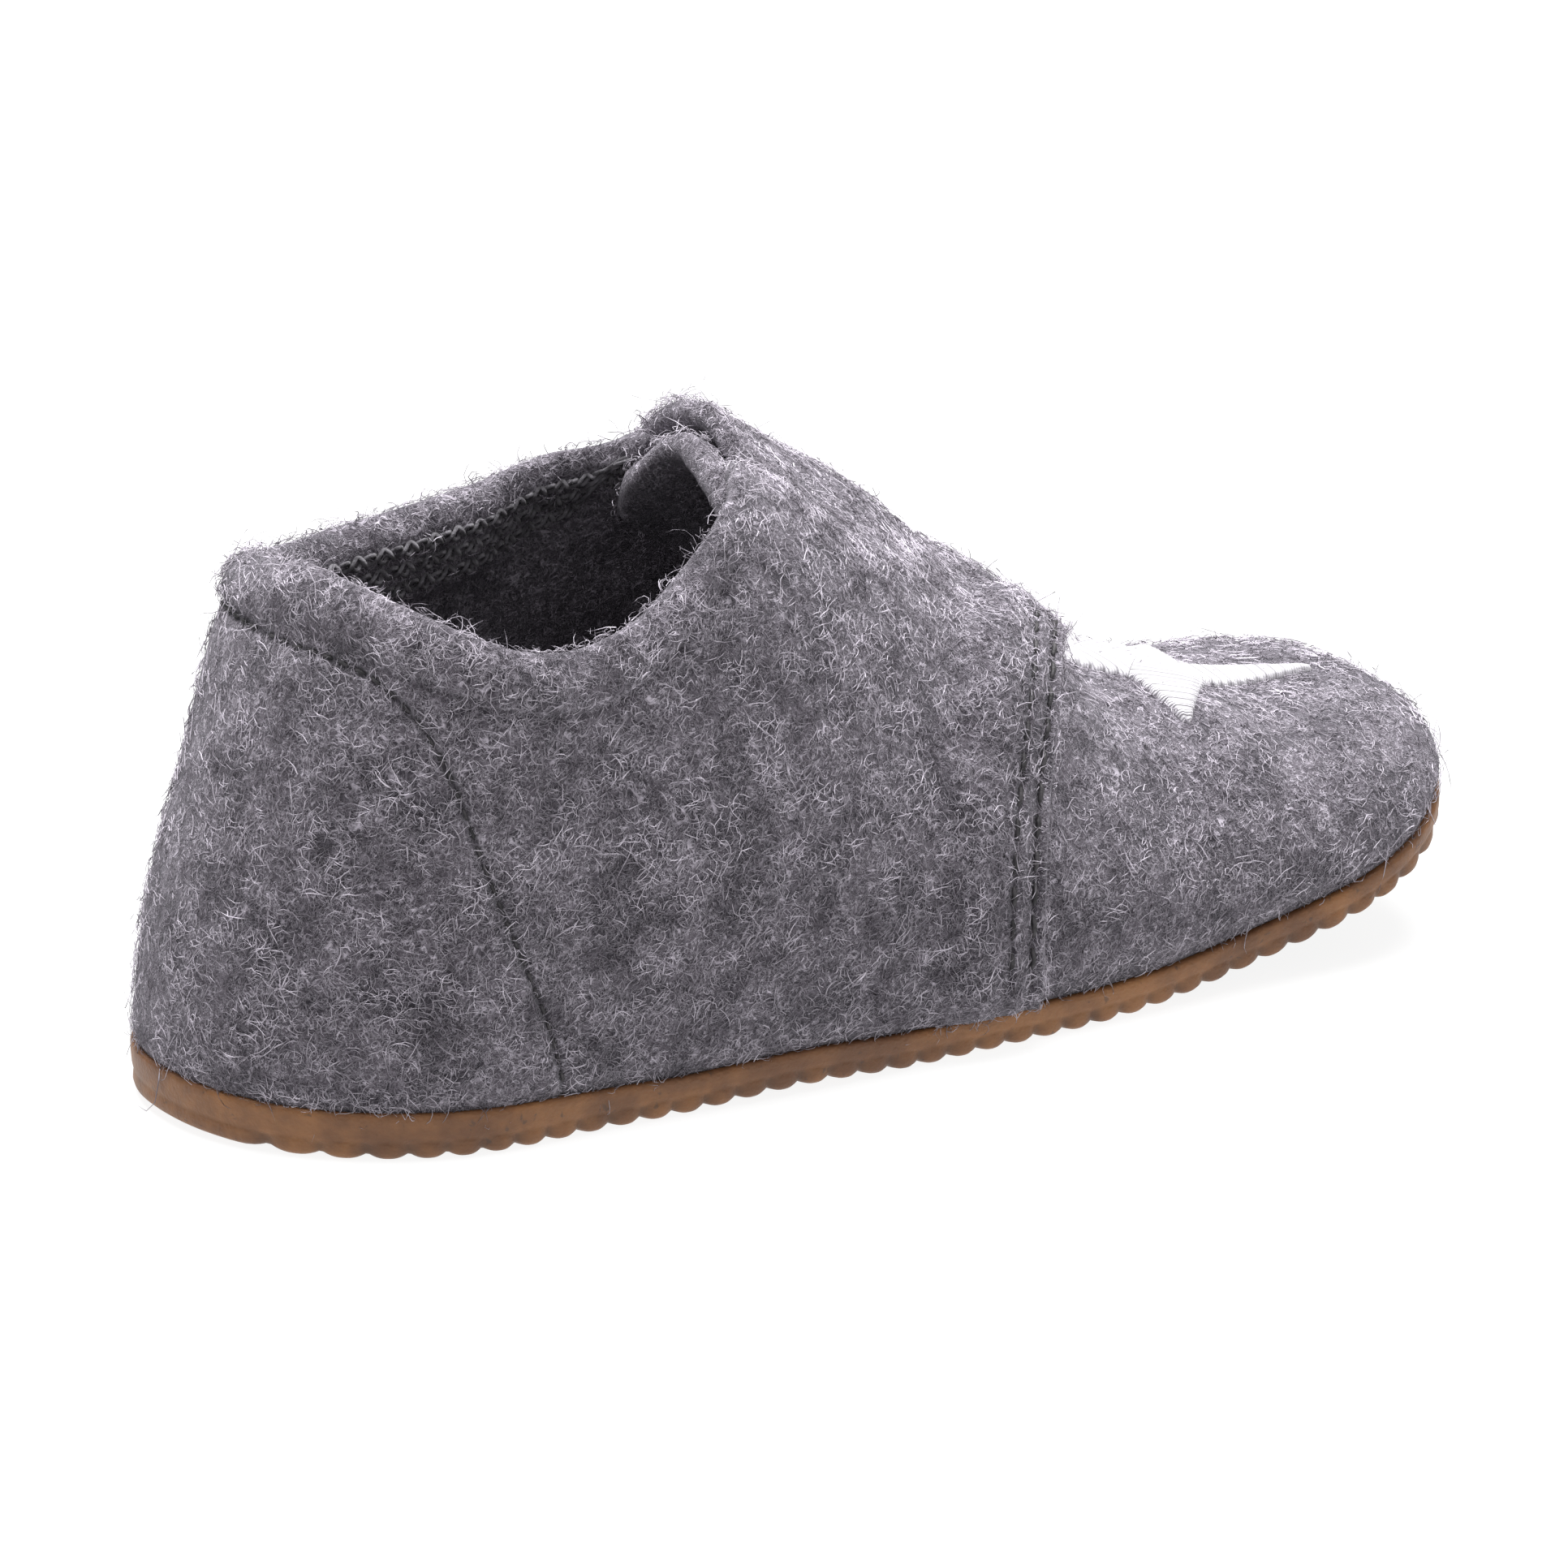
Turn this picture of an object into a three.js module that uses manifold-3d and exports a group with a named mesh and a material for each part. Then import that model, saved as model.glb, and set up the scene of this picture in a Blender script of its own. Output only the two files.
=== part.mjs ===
// A baby's house slipper of boiled wool felt on a thin natural rubber sole, for the left foot.
// A broad flap, cut in one with the inner quarter, closes over the instep on a hook and a loop patch.
// Millimetres. +X points to the toe, +Y to the outer side of the foot and +Z up. The origin lies on
// the floor under the middle of the shoe.
import * as THREE from 'three';
import { mergeVertices } from 'three/addons/utils/BufferGeometryUtils.js';
import Module from 'manifold-3d';

// Main sizes of the last.
const LENGTH = 145;
const BALL_WIDTH = 54.5;
const INSTEP_HEIGHT = 62;
const HEEL_ROUNDING = 29;
const TOE_ROUNDING = 32;
const HEEL_SQUARENESS = 2.2;
const TOE_SQUARENESS = 2.8;
const HEEL_LEAN = 16;

// Sole: thickness, the lift of its toe, its low arch and the waves of its tread.
const SOLE_THICKNESS = 3.9;
const TOE_SPRING = 13;
const SPRING_START = 90;
const HEEL_LIFT = 0.5;
const HEEL_LIFT_LENGTH = 9;
const ARCH_HEIGHT = 0.6;
const ARCH_START = 42;
const ARCH_END = 73;
const SOLE_BAND = 1.9;
const RIB_DEPTH = 0.5;
const TREAD_PITCH = 3.6;
const TREAD_DEPTH = 0.4;
const SOLE_EDGE_ROUNDING = 0.9;
const SOLE_END = 3;

// Felt and what is sewn to it.
const FELT = 2.8;
const FLAP_FELT = 2.4;
const CLEARANCE = 0.3;
const HEM_DEPTH = 4.6;
const HEM_PROUD = 0.45;
const HEM_GROOVE = 0.4;
const HEM_FOLD = 1.3;
const HEM_FOLD_DEPTH = 8.5;
const FOLD_RUN_OUT = 1.5;
const HEM_EDGE = 0.5;
const HEM_START = HEM_DEPTH + 1.6;
const HEM_GROOVE_HALF = 0.9;
const RIM_ROUNDING = 0.7;
const LAP_WIDTH = 7.5;
const LAP_RAMP = 7;
const LAP_HEIGHT_LOW = 1.5;
const LAP_PRESSED = 0.25;
const SEAM_STEP = 0.2;
const COUNTER_GROOVE = 0.55;
const INSOLE_THICKNESS = 2;
const PATCH_THICKNESS = 0.5;
const STAR_THICKNESS = 0.6;

// Places along the foot of a row of columns up the wall, as shares of the length at the sole.
const FOLD_END = 0.29;
const FOLD_GONE = 0.35;
const THROAT_START = 0.33;
const TONGUE_REAR = 0.345;
const FLAP_REAR = 0.372;
const HEM_GONE = 0.385;
const PATCH_REAR = 0.43;
const PATCH_FRONT = 0.5;
const FLAP_FRONT_LATERAL = 0.555;
const SLOT_FRONT = 0.566;
const TONGUE_FRONT = 0.582;
const SEAM = 0.592;

// Distances from the crest over the instep, measured along the felt. Columns lean forward as they rise,
// and END_SQUARING is the share of the length by which an end line moves for each millimetre across.
const SLOT_INNER = 8.5;
const SLOT_OUTER = 11;
const TONGUE_HALF = 17;
const TONGUE_ARCH = 2;
const FLAP_REACH = 23;
const FLAP_CORNER = 7;
const END_SQUARING = 0.0025;
const FLAP_ROOT = SEAM_STEP + CLEARANCE - SLOT_INNER;
const PATCH_MARGIN = 3;
const STAR_REACH = 24;

// Counts of the rows and columns of the felt.
const WALL_ROWS = 10;
const TOP_ROWS = 7;
const END_COLUMNS = 12;
const SLOT_COLUMNS = 10;
const WALL_SAMPLES = 90;
const SEAM_SAMPLES = 13;
const SEAM_STEPS = 54;
const SEAM_SIDES = 3;
const FLAP_ROWS = 12;
const FLAP_COLUMNS = 6;
const CORNER_COLUMNS = 4;
const PATCH_ROWS = 5;
const PATCH_COLUMNS = 4;
const STAR_ROWS = 12;
const INSOLE_COLUMNS = 30;

// Small steps by which directions are measured: round the outline, up a wall, and beside the crest.
const OUTLINE_STEP = 0.004;
const RISE_STEP = 0.01;
const CREST_STEP = 0.02;
const LEVEL = 0.001;

// Power by which a measured wall's samples crowd towards the sole, the rises between which the lap
// grows to its full height, the share of the length over which the flap climbs on to the vamp, and the
// share of a wall that the star's layer may cover.
const WALL_CROWDING = 1.5;
const LAP_LOW_RISE = 0.3;
const LAP_HIGH_RISE = 1;
const FLAP_CLIMB = 0.02;
const STAR_COVER = 0.9;

// Places of the sole's end stations, in millimetres from its ends, and one wave of the tread, in shares
// of its pitch, where it stands flat on the floor and where the sole is lifted.
const SOLE_END_PLACES = [0.3, 1, 1.9];
const FLAT_WAVE = [
  { at: 0, lift: 0 },
  { at: 0.4, lift: 0 },
  { at: 0.6, lift: 1 },
  { at: 0.8, lift: 1 },
];
const LIFTED_WAVE = [
  { at: 0.2, lift: 0 },
  { at: 0.7, lift: 1 },
];

// Colour and roughness of each material.
const FINISHES = {
  rubber: { color: 0x8a5c34, roughness: 0.55 },
  wool: { color: 0x9a948c, roughness: 0.9 },
  felt: { color: 0x6b646c, roughness: 0.95 },
  loops: { color: 0x4a4a4e, roughness: 0.9 },
  hooks: { color: 0x4a4a4e, roughness: 0.7 },
  thread: { color: 0xf2eef2, roughness: 0.6 },
};

// One row for each section of the last. at: place along the sole. width, shift: the sole's width and the
// shift of its middle to the outer side. crestAt: where the section's top lies along the shoe.
// lean: shift of that top. round: exponent of the section's curve, 2 for an ellipse, more for a box.
// belly, top: how far the wall swells over the sole, and the share of the height where that ends.
// Lengths are shares of the length and the ball width.
const SECTIONS = [
  { at: 0.0, width: 0.815, shift: 0.045, crestAt: 0.284, lean: 0, round: 2.5, belly: 0.018, top: 0.3 },
  { at: 0.12, width: 0.845, shift: 0.004, crestAt: 0.324, lean: 0, round: 2.9, belly: 0.018, top: 0.34 },
  { at: 0.25, width: 0.855, shift: -0.006, crestAt: 0.348, lean: 0, round: 2.8, belly: 0.028, top: 0.5 },
  { at: 0.4, width: 0.9, shift: -0.018, crestAt: 0.462, lean: 0, round: 2.8, belly: 0.028, top: 0.6 },
  { at: 0.5, width: 0.935, shift: -0.008, crestAt: 0.577, lean: 0, round: 2.3, belly: 0.028, top: 0.6 },
  { at: 0.592, width: 0.97, shift: 0.008, crestAt: 0.722, lean: 0, round: 2.16, belly: 0.028, top: 0.6 },
  { at: 0.68, width: 0.994, shift: 0.022, crestAt: 0.771, lean: -0.02, round: 2.29, belly: 0.026, top: 0.6 },
  { at: 0.8, width: 0.994, shift: 0.028, crestAt: 0.822, lean: -0.05, round: 2.54, belly: 0.02, top: 0.6 },
  { at: 0.9, width: 1.008, shift: -0.008, crestAt: 0.862, lean: -0.07, round: 2.52, belly: 0.006, top: 0.6 },
  { at: 1.0, width: 1.02, shift: -0.028, crestAt: 0.925, lean: -0.08, round: 2.43, belly: 0, top: 0.6 },
];

// Height of the closed form's top along the shoe, as a share of the instep height. Behind the throat
// it stands above the collar, and only the walls under it are felt.
const CREST = [
  { at: 0.0, height: 1.475 },
  { at: 0.14, height: 1.475 },
  { at: 0.25, height: 1.29 },
  { at: 0.345, height: 1.126 },
  { at: 0.4, height: 1.025 },
  { at: 0.44, height: 0.961 },
  { at: 0.49, height: 0.886 },
  { at: 0.545, height: 0.81 },
  { at: 0.6, height: 0.714 },
  { at: 0.657, height: 0.614 },
  { at: 0.708, height: 0.507 },
  { at: 0.738, height: 0.478 },
  { at: 0.766, height: 0.466 },
  { at: 0.8, height: 0.446 },
  { at: 0.842, height: 0.408 },
  { at: 0.89, height: 0.4 },
  { at: 0.945, height: 0.403 },
  { at: 1.0, height: 0.407 },
];

// Height of the collar's edge along the shoe, on the inner and the outer side, as a share of the
// instep height.
const COLLAR = [
  { at: 0.0, inner: 0.968, outer: 0.968 },
  { at: 0.04, inner: 0.949, outer: 0.945 },
  { at: 0.085, inner: 0.906, outer: 0.885 },
  { at: 0.13, inner: 0.85, outer: 0.824 },
  { at: 0.172, inner: 0.804, outer: 0.809 },
  { at: 0.215, inner: 0.781, outer: 0.816 },
  { at: 0.25, inner: 0.783, outer: 0.827 },
  { at: 0.29, inner: 0.814, outer: 0.844 },
  { at: 0.33, inner: 0.878, outer: 0.864 },
  { at: 0.372, inner: 0.945, outer: 0.896 },
  { at: 0.415, inner: 0.99, outer: 0.93 },
  { at: 0.46, inner: 1.06, outer: 1.07 },
  { at: 0.5, inner: 1.3, outer: 1.3 },
];

// The counter's seam: its place at the sole for each height of it, the height as a share of the
// instep height.
const COUNTER_SEAM = [
  { at: 0.0, height: 0.79 },
  { at: 0.02, height: 0.785 },
  { at: 0.05, height: 0.755 },
  { at: 0.09, height: 0.66 },
  { at: 0.13, height: 0.49 },
  { at: 0.165, height: 0.34 },
  { at: 0.195, height: 0.19 },
  { at: 0.215, height: 0.04 },
];

// Corners of the star on the toe, a tip and a notch in turn. along: share of the length. across: share
// of the ball width, to the outer side.
const STAR = [
  { along: 0.934, across: -0.11 },
  { along: 0.848, across: 0.022 },
  { along: 0.869, across: 0.22 },
  { along: 0.797, across: 0.11 },
  { along: 0.738, across: 0.229 },
  { along: 0.748, across: 0.046 },
  { along: 0.7, across: 0.009 },
  { along: 0.759, across: -0.125 },
  { along: 0.764, across: -0.303 },
  { along: 0.83, across: -0.116 },
];

const wasm = await Module();
wasm.setup();

// Returns a function that reads a table's columns, joined by smooth curves, at any place.
function smoothTable(rows) {
  const names = Object.keys(rows[0]).filter((name) => name !== 'at');
  const places = rows.map((row) => row.at);
  const values = rows.flatMap((row) => names.map((name) => row[name]));
  const curve = new THREE.CubicInterpolant(places, values, names.length, new Float64Array(names.length));
  return (place) => {
    const result = curve.evaluate(place);
    return Object.fromEntries(names.map((name, index) => [name, result[index]]));
  };
}

const sectionAt = smoothTable(SECTIONS);
const crestAt = smoothTable(CREST);
const collarAt = smoothTable(COLLAR);
const counterSeamAt = smoothTable(COUNTER_SEAM);

// Returns the height of the sole's underside: flat under heel and ball, a low arch between them,
// and the spring of the toe.
function groundHeight(x) {
  const toe = Math.max(0, (x - SPRING_START) / (LENGTH - SPRING_START));
  const heel = Math.max(0, 1 - x / HEEL_LIFT_LENGTH);
  const arch = THREE.MathUtils.clamp((x - ARCH_START) / (ARCH_END - ARCH_START), 0, 1);
  return TOE_SPRING * toe ** 2 + HEEL_LIFT * heel ** 2 + ARCH_HEIGHT * Math.sin(Math.PI * arch) ** 2;
}

// Returns the height of the sole's top.
function soleTop(x) {
  return groundHeight(x) + SOLE_THICKNESS;
}

// Returns the angle round the outline, from 0 at the heel to a half turn at the toe, for a place
// along the sole.
function outlineAngle(share) {
  return Math.acos(THREE.MathUtils.clamp(1 - 2 * share, -1, 1));
}

// Returns how much of the width is left near a rounded end.
function endShare(distance, rounding, squareness) {
  const inward = Math.max(0, 1 - distance / rounding);
  return (1 - inward ** squareness) ** (1 / squareness);
}

// Returns the outline of the sole in plan at an angle: positive on the outer side, negative on the
// inner one.
function outlinePoint(angle) {
  const x = LENGTH * (1 - Math.cos(angle)) / 2;
  const section = sectionAt(x / LENGTH);
  const heelShare = endShare(x, HEEL_ROUNDING, HEEL_SQUARENESS);
  const toeShare = endShare(LENGTH - x, TOE_ROUNDING, TOE_SQUARENESS);
  const halfWidth = section.width * BALL_WIDTH / 2 * heelShare * toeShare;
  const y = section.shift * BALL_WIDTH + Math.sign(Math.sin(angle)) * halfWidth;
  return new THREE.Vector2(x, y);
}

// Returns the outline's point moved outward in plan by a distance.
function outlineOffset(angle, distance) {
  const along = outlinePoint(angle + OUTLINE_STEP).sub(outlinePoint(angle - OUTLINE_STEP)).normalize();
  const outward = new THREE.Vector2(-along.y, along.x);
  return outlinePoint(angle).add(outward.multiplyScalar(distance));
}

// Returns a point of the felt's outer face: an angle round the outline and a rise from 0 at the sole
// to a quarter turn at the crest, along a superellipse with a belly low on the wall. Round the heel the
// wall also leans forward.
function shellPoint(angle, rise) {
  const base = outlinePoint(angle);
  const section = sectionAt(base.x / LENGTH);
  const crest = new THREE.Vector2(section.crestAt * LENGTH, section.lean * BALL_WIDTH);
  const spread = Math.max(0, Math.cos(rise)) ** (2 / section.round);
  const climb = Math.max(0, Math.sin(rise)) ** (2 / section.round);
  const belly = section.belly * BALL_WIDTH * Math.sin(Math.PI * Math.min(climb / section.top, 1));
  const outward = base.clone().sub(crest);
  const plan = crest.add(outward.multiplyScalar(spread + belly / outward.length()));
  plan.x += HEEL_LEAN * climb * Math.max(0, Math.cos(angle)) ** 2;
  const bottom = soleTop(plan.x) + CLEARANCE;
  const height = crestAt(plan.x / LENGTH).height * INSTEP_HEIGHT;
  return new THREE.Vector3(plan.x, plan.y, bottom + (height - bottom) * climb);
}

// Returns the outward direction of the felt's outer face.
function shellNormal(angle, rise) {
  const low = Math.max(rise - RISE_STEP, 0);
  const high = Math.min(rise + RISE_STEP, Math.PI / 2);
  const around = shellPoint(angle + RISE_STEP, rise).sub(shellPoint(angle - RISE_STEP, rise));
  const upward = shellPoint(angle, high).sub(shellPoint(angle, low));
  return upward.cross(around).normalize();
}

// Returns a crest point's direction, the mean of both sides' normals.
function crestNormal(angle) {
  const rise = Math.PI / 2 - CREST_STEP;
  return shellNormal(angle, rise).add(shellNormal(-angle, rise)).normalize();
}

// Returns the felt's face moved outward by an offset, or inward when it is negative.
function offsetPoint(angle, rise, offset) {
  const onCrest = rise > Math.PI / 2 - LEVEL;
  const normal = onCrest ? crestNormal(angle) : shellNormal(angle, rise);
  return shellPoint(angle, rise).add(normal.multiplyScalar(offset));
}

// Measures the wall at an angle. rises and arcs list the rise and the length along the wall from the
// sole at even steps up to the crest.
function measureColumn(angle) {
  const rises = [0];
  const arcs = [0];
  let last = shellPoint(angle, 0);
  for (let index = 1; index <= WALL_SAMPLES; index += 1) {
    const rise = Math.PI / 2 * (index / WALL_SAMPLES) ** WALL_CROWDING;
    const point = shellPoint(angle, rise);
    rises.push(rise);
    arcs.push(arcs[index - 1] + point.distanceTo(last));
    last = point;
  }
  return { angle, rises, arcs, total: arcs[WALL_SAMPLES] };
}

// Returns the rise at a length along a measured wall.
function riseAtArc(column, arc) {
  const { rises, arcs } = column;
  const wanted = THREE.MathUtils.clamp(arc, 0, column.total);
  let index = 1;
  while (index < arcs.length - 1 && arcs[index] < wanted) {
    index += 1;
  }
  const share = (wanted - arcs[index - 1]) / (arcs[index] - arcs[index - 1]);
  return THREE.MathUtils.lerp(rises[index - 1], rises[index], share);
}

// Returns the length along a measured wall at which a height function first lies below the wall.
function arcAtHeight(column, heightAt) {
  const { rises, arcs } = column;
  let lastGap = -1;
  for (let index = 1; index < rises.length; index += 1) {
    const point = shellPoint(column.angle, rises[index]);
    const gap = point.z - heightAt(point.x);
    if (gap >= 0) {
      return THREE.MathUtils.lerp(arcs[index - 1], arcs[index], -lastGap / (gap - lastGap));
    }
    lastGap = gap;
  }
  return column.total;
}

// Returns the distance from the crest to the throat slot's edge on a column's side.
function slotHalf(column) {
  return column.angle < 0 ? SLOT_INNER : SLOT_OUTER;
}

// Returns the length along a wall at which the collar or the throat slot cuts it.
function rimArc(column) {
  const side = column.angle < 0 ? 'inner' : 'outer';
  const collar = arcAtHeight(column, (x) => collarAt(x / LENGTH)[side] * INSTEP_HEIGHT);
  return Math.min(collar, column.total - slotHalf(column));
}

// Builds one closed solid from a sheet's outer points, its inner points and its triangles: the inner
// face is the same triangles turned over, and every open edge of the sheet is closed by a strip.
function thicken(outer, inner, triangles) {
  const positions = [...outer, ...inner].flatMap((point) => [point.x, point.y, point.z]);
  const shift = outer.length;
  const faces = [];
  const edges = new Map();
  for (const [a, b, c] of triangles) {
    faces.push(a, b, c, a + shift, c + shift, b + shift);
    for (const [from, to] of [[a, b], [b, c], [c, a]]) {
      edges.set(`${from},${to}`, [from, to]);
    }
  }
  for (const [from, to] of edges.values()) {
    if (!edges.has(`${to},${from}`)) {
      faces.push(to, from, from + shift, to, from + shift, to + shift);
    }
  }
  return closedGeometry(positions, faces);
}

// Makes a geometry from positions and faces, turned so that its faces point outward.
function closedGeometry(positions, faces) {
  let volume = 0;
  const corner = (index) => new THREE.Vector3().fromArray(positions, 3 * index);
  for (let index = 0; index < faces.length; index += 3) {
    const [a, b, c] = [corner(faces[index]), corner(faces[index + 1]), corner(faces[index + 2])];
    volume += a.dot(b.cross(c));
  }
  const geometry = new THREE.BufferGeometry();
  geometry.setAttribute('position', new THREE.Float32BufferAttribute(positions, 3));
  geometry.setIndex(volume > 0 ? faces : faces.slice().reverse());
  return geometry;
}

// Turns a geometry into a solid that can be cut.
function toManifold(geometry) {
  const bare = geometry.clone();
  bare.deleteAttribute('normal');
  bare.deleteAttribute('uv');
  const merged = mergeVertices(bare, 1e-5);
  const vertProperties = new Float32Array(merged.attributes.position.array);
  const triVerts = new Uint32Array(merged.index.array);
  return new wasm.Manifold(new wasm.Mesh({ numProp: 3, vertProperties, triVerts }));
}

// Turns a cut solid back into a geometry.
function fromManifold(solid) {
  const mesh = solid.getMesh();
  const geometry = new THREE.BufferGeometry();
  geometry.setAttribute('position', new THREE.BufferAttribute(new Float32Array(mesh.vertProperties), 3));
  geometry.setIndex(new THREE.BufferAttribute(new Uint32Array(mesh.triVerts), 1));
  return geometry;
}

// Returns a value that runs smoothly from 0 at the first place to 1 at the second.
function ramp(value, first, second) {
  const share = THREE.MathUtils.clamp((value - first) / (second - first), 0, 1);
  return share * share * (3 - 2 * share);
}

// Returns even steps between two numbers, without the first one.
function steps(from, to, count) {
  return Array.from({ length: count }, (_, index) => from + (to - from) * (index + 1) / count);
}

// Returns the angle of a column at a place along the sole, on the side of the shoe that a value's sign
// names: the inner side when it is below zero.
function columnAngle(share, side) {
  return side < 0 ? -outlineAngle(share) : outlineAngle(share);
}

// Returns how strongly the collar's hem stands out at a column: it runs out before the flap.
function hemWeight(column) {
  return 1 - ramp(Math.abs(column.angle), outlineAngle(THROAT_START), outlineAngle(HEM_GONE));
}

// Returns how thick the hem's inner fold is at a column: it runs out before the tongue.
function foldWeight(column) {
  return 1 - ramp(Math.abs(column.angle), outlineAngle(FOLD_END), outlineAngle(FOLD_GONE));
}

// Returns how far the hem band stands out at a distance under the rim, with its groove below it.
function hemRelief(distance) {
  const band = HEM_PROUD * (1 - ramp(distance, HEM_DEPTH - HEM_EDGE, HEM_DEPTH));
  const groove = HEM_GROOVE * Math.max(0, 1 - Math.abs(distance - HEM_DEPTH - HEM_EDGE) / HEM_GROOVE_HALF);
  return band - groove;
}

// Returns how far the quarter, lapped over the vamp's edge, stands out at a place up a column. It falls
// to nothing behind the lap. Under the flap's end the lap is pressed flat.
function lapRelief(column, arc) {
  const share = (1 - Math.cos(column.angle)) / 2;
  if (share > SEAM) {
    return 0;
  }
  const rise = riseAtArc(column, arc);
  const behind = shellPoint(columnAngle(SEAM, column.angle), rise).distanceTo(shellPoint(column.angle, rise));
  const grown = ramp(rise, LAP_LOW_RISE, LAP_HIGH_RISE);
  const height = THREE.MathUtils.lerp(LAP_HEIGHT_LOW, FELT + CLEARANCE, grown);
  const free = column.angle < 0 ? 1 : ramp(column.total - arc, SLOT_OUTER, FLAP_REACH + LAP_RAMP);
  const pressed = THREE.MathUtils.lerp(LAP_PRESSED, 1, free);
  return height * pressed * (1 - ramp(behind, LAP_WIDTH, LAP_WIDTH + LAP_RAMP));
}

// Returns the columns of one side, heel to toe, as shares of the length at the sole. Two columns
// stand close together at the slot's front end and at the seam, where the wall steps.
function columnShares() {
  const halfStep = SEAM_STEP / 2 / LENGTH;
  const heelAngles = steps(0, outlineAngle(THROAT_START), END_COLUMNS);
  const toeAngles = steps(outlineAngle(SEAM + halfStep), Math.PI, END_COLUMNS);
  return [
    0,
    ...heelAngles.map((angle) => (1 - Math.cos(angle)) / 2),
    ...steps(THROAT_START, SLOT_FRONT, SLOT_COLUMNS),
    SLOT_FRONT + 2 * halfStep,
    SEAM - halfStep,
    SEAM + halfStep,
    ...toeAngles.map((angle) => (1 - Math.cos(angle)) / 2),
  ];
}

// Returns the rows of an open column: even steps up the wall, then the hem's groove, its band, the
// rim and its rounded lip. distance is counted down from the rim.
function openRows(column) {
  const rim = rimArc(column);
  const wall = [0, ...steps(0, rim - HEM_START, WALL_ROWS)];
  const band = steps(HEM_DEPTH - HEM_EDGE / 2, RIM_ROUNDING, 3);
  const distances = [HEM_DEPTH + HEM_EDGE, HEM_DEPTH - HEM_EDGE / 2, ...band, 0];
  const arcs = [...wall, ...distances.map((distance) => rim - distance)];
  const rows = arcs.map((arc) => ({ arc, distance: rim - arc, lip: 0 }));
  rows.push({ arc: rim, distance: 0, lip: 1 });
  return rows;
}

// Returns the rows of a column from the slot's front end on: even steps up the wall, the slot's line
// with a close pair there, and steps to the crest. The slot's last open column stops past its line.
function closedRows(column, isSlotEnd) {
  const line = column.total - slotHalf(column);
  const top = isSlotEnd ? line + SEAM_STEP : column.total;
  const first = line + SEAM_STEP / 2;
  const wall = [0, ...steps(0, line - HEM_START, WALL_ROWS)];
  const nearLine = [line - HEM_DEPTH - HEM_EDGE, line - HEM_DEPTH / 2, line];
  const arcs = [...wall, ...nearLine, first, ...steps(first, top, TOP_ROWS - 4)];
  return arcs.map((arc) => ({ arc, distance: Infinity, lip: 0, underFlap: arc > line }));
}

// Returns the outer and inner point of the upper at a column and row. The base row stands level on
// the sole, and the lip rounds the rim over to the middle of the wall.
function upperPoints(column, row, index) {
  const rise = riseAtArc(column, row.arc);
  const hem = row.distance < Infinity ? hemWeight(column) * hemRelief(row.distance) : 0;
  const lap = row.underFlap ? 0 : lapRelief(column, row.arc);
  const relief = lap + hem;
  const foldEnd = 1 - ramp(row.distance, HEM_FOLD_DEPTH, HEM_FOLD_DEPTH + FOLD_RUN_OUT);
  const fold = foldWeight(column) * HEM_FOLD * foldEnd;
  const rounding = row.distance < RIM_ROUNDING / 2 ? RIM_ROUNDING : 0;
  const outerOffset = relief - rounding;
  const innerOffset = rounding - FELT - fold;
  const middle = (outerOffset + innerOffset) / 2;
  const outer = offsetPoint(column.angle, rise, row.lip ? middle + CLEARANCE : outerOffset);
  const inner = offsetPoint(column.angle, rise, row.lip ? middle - CLEARANCE : innerOffset);
  if (row.lip) {
    outer.z += RIM_ROUNDING;
    inner.z += RIM_ROUNDING;
  }
  if (index === 0) {
    outer.z = soleTop(outer.x) + CLEARANCE;
    inner.z = soleTop(inner.x) + CLEARANCE;
  }
  return { outer, inner };
}

// The felt upper: one hollow wall round the outline, cut by the collar and the throat slot, closed
// over the toe and open underneath.
function upperGeometry() {
  const shares = columnShares();
  const last = shares.length - 1;
  const ring = [...shares.map(outlineAngle), ...shares.slice(1, last).reverse().map((s) => -outlineAngle(s))];
  const rowCount = WALL_ROWS + TOP_ROWS;
  const outer = [];
  const inner = [];
  const ids = ring.map((angle, place) => {
    const column = measureColumn(angle);
    const share = shares[Math.min(place, ring.length - place)];
    const open = share <= SLOT_FRONT;
    const rows = share < SLOT_FRONT ? openRows(column) : closedRows(column, open);
    return rows.map((row, index) => {
      if (!open && index === rowCount && place > last) {
        return null;
      }
      const points = upperPoints(column, row, index);
      outer.push(points.outer);
      inner.push(points.inner);
      return outer.length - 1;
    });
  });
  ids.forEach((column, place) => {
    if (column[rowCount] === null) {
      column[rowCount] = ids[ring.length - place][rowCount];
    }
  });
  const triangles = [];
  ids.forEach((left, place) => {
    const right = ids[(place + 1) % ring.length];
    for (let row = 0; row < rowCount; row += 1) {
      triangles.push([left[row], right[row], right[row + 1]]);
      triangles.push([left[row], right[row + 1], left[row + 1]]);
    }
  });
  return thicken(outer, inner, triangles.filter(([a, b, c]) => a !== b && b !== c && c !== a));
}

// Returns the tube that presses the counter's seam into the felt, from the sole on one side over the
// back of the heel to the sole on the other.
function counterSeamTube() {
  const end = COUNTER_SEAM[COUNTER_SEAM.length - 1].at;
  const points = [];
  for (let index = -SEAM_SAMPLES; index <= SEAM_SAMPLES; index += 1) {
    const share = end * Math.abs(index) / SEAM_SAMPLES;
    const angle = columnAngle(share, index);
    const column = measureColumn(angle);
    const height = counterSeamAt(share).height * INSTEP_HEIGHT;
    const rise = riseAtArc(column, arcAtHeight(column, () => height));
    points.push(offsetPoint(angle, rise, COUNTER_GROOVE / 4));
  }
  const section = new THREE.Shape();
  section.absarc(0, 0, COUNTER_GROOVE, 0, 2 * Math.PI);
  const path = new THREE.CatmullRomCurve3(points);
  const sweep = { steps: SEAM_STEPS, extrudePath: path, curveSegments: SEAM_SIDES };
  return new THREE.ExtrudeGeometry(section, sweep);
}

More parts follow.
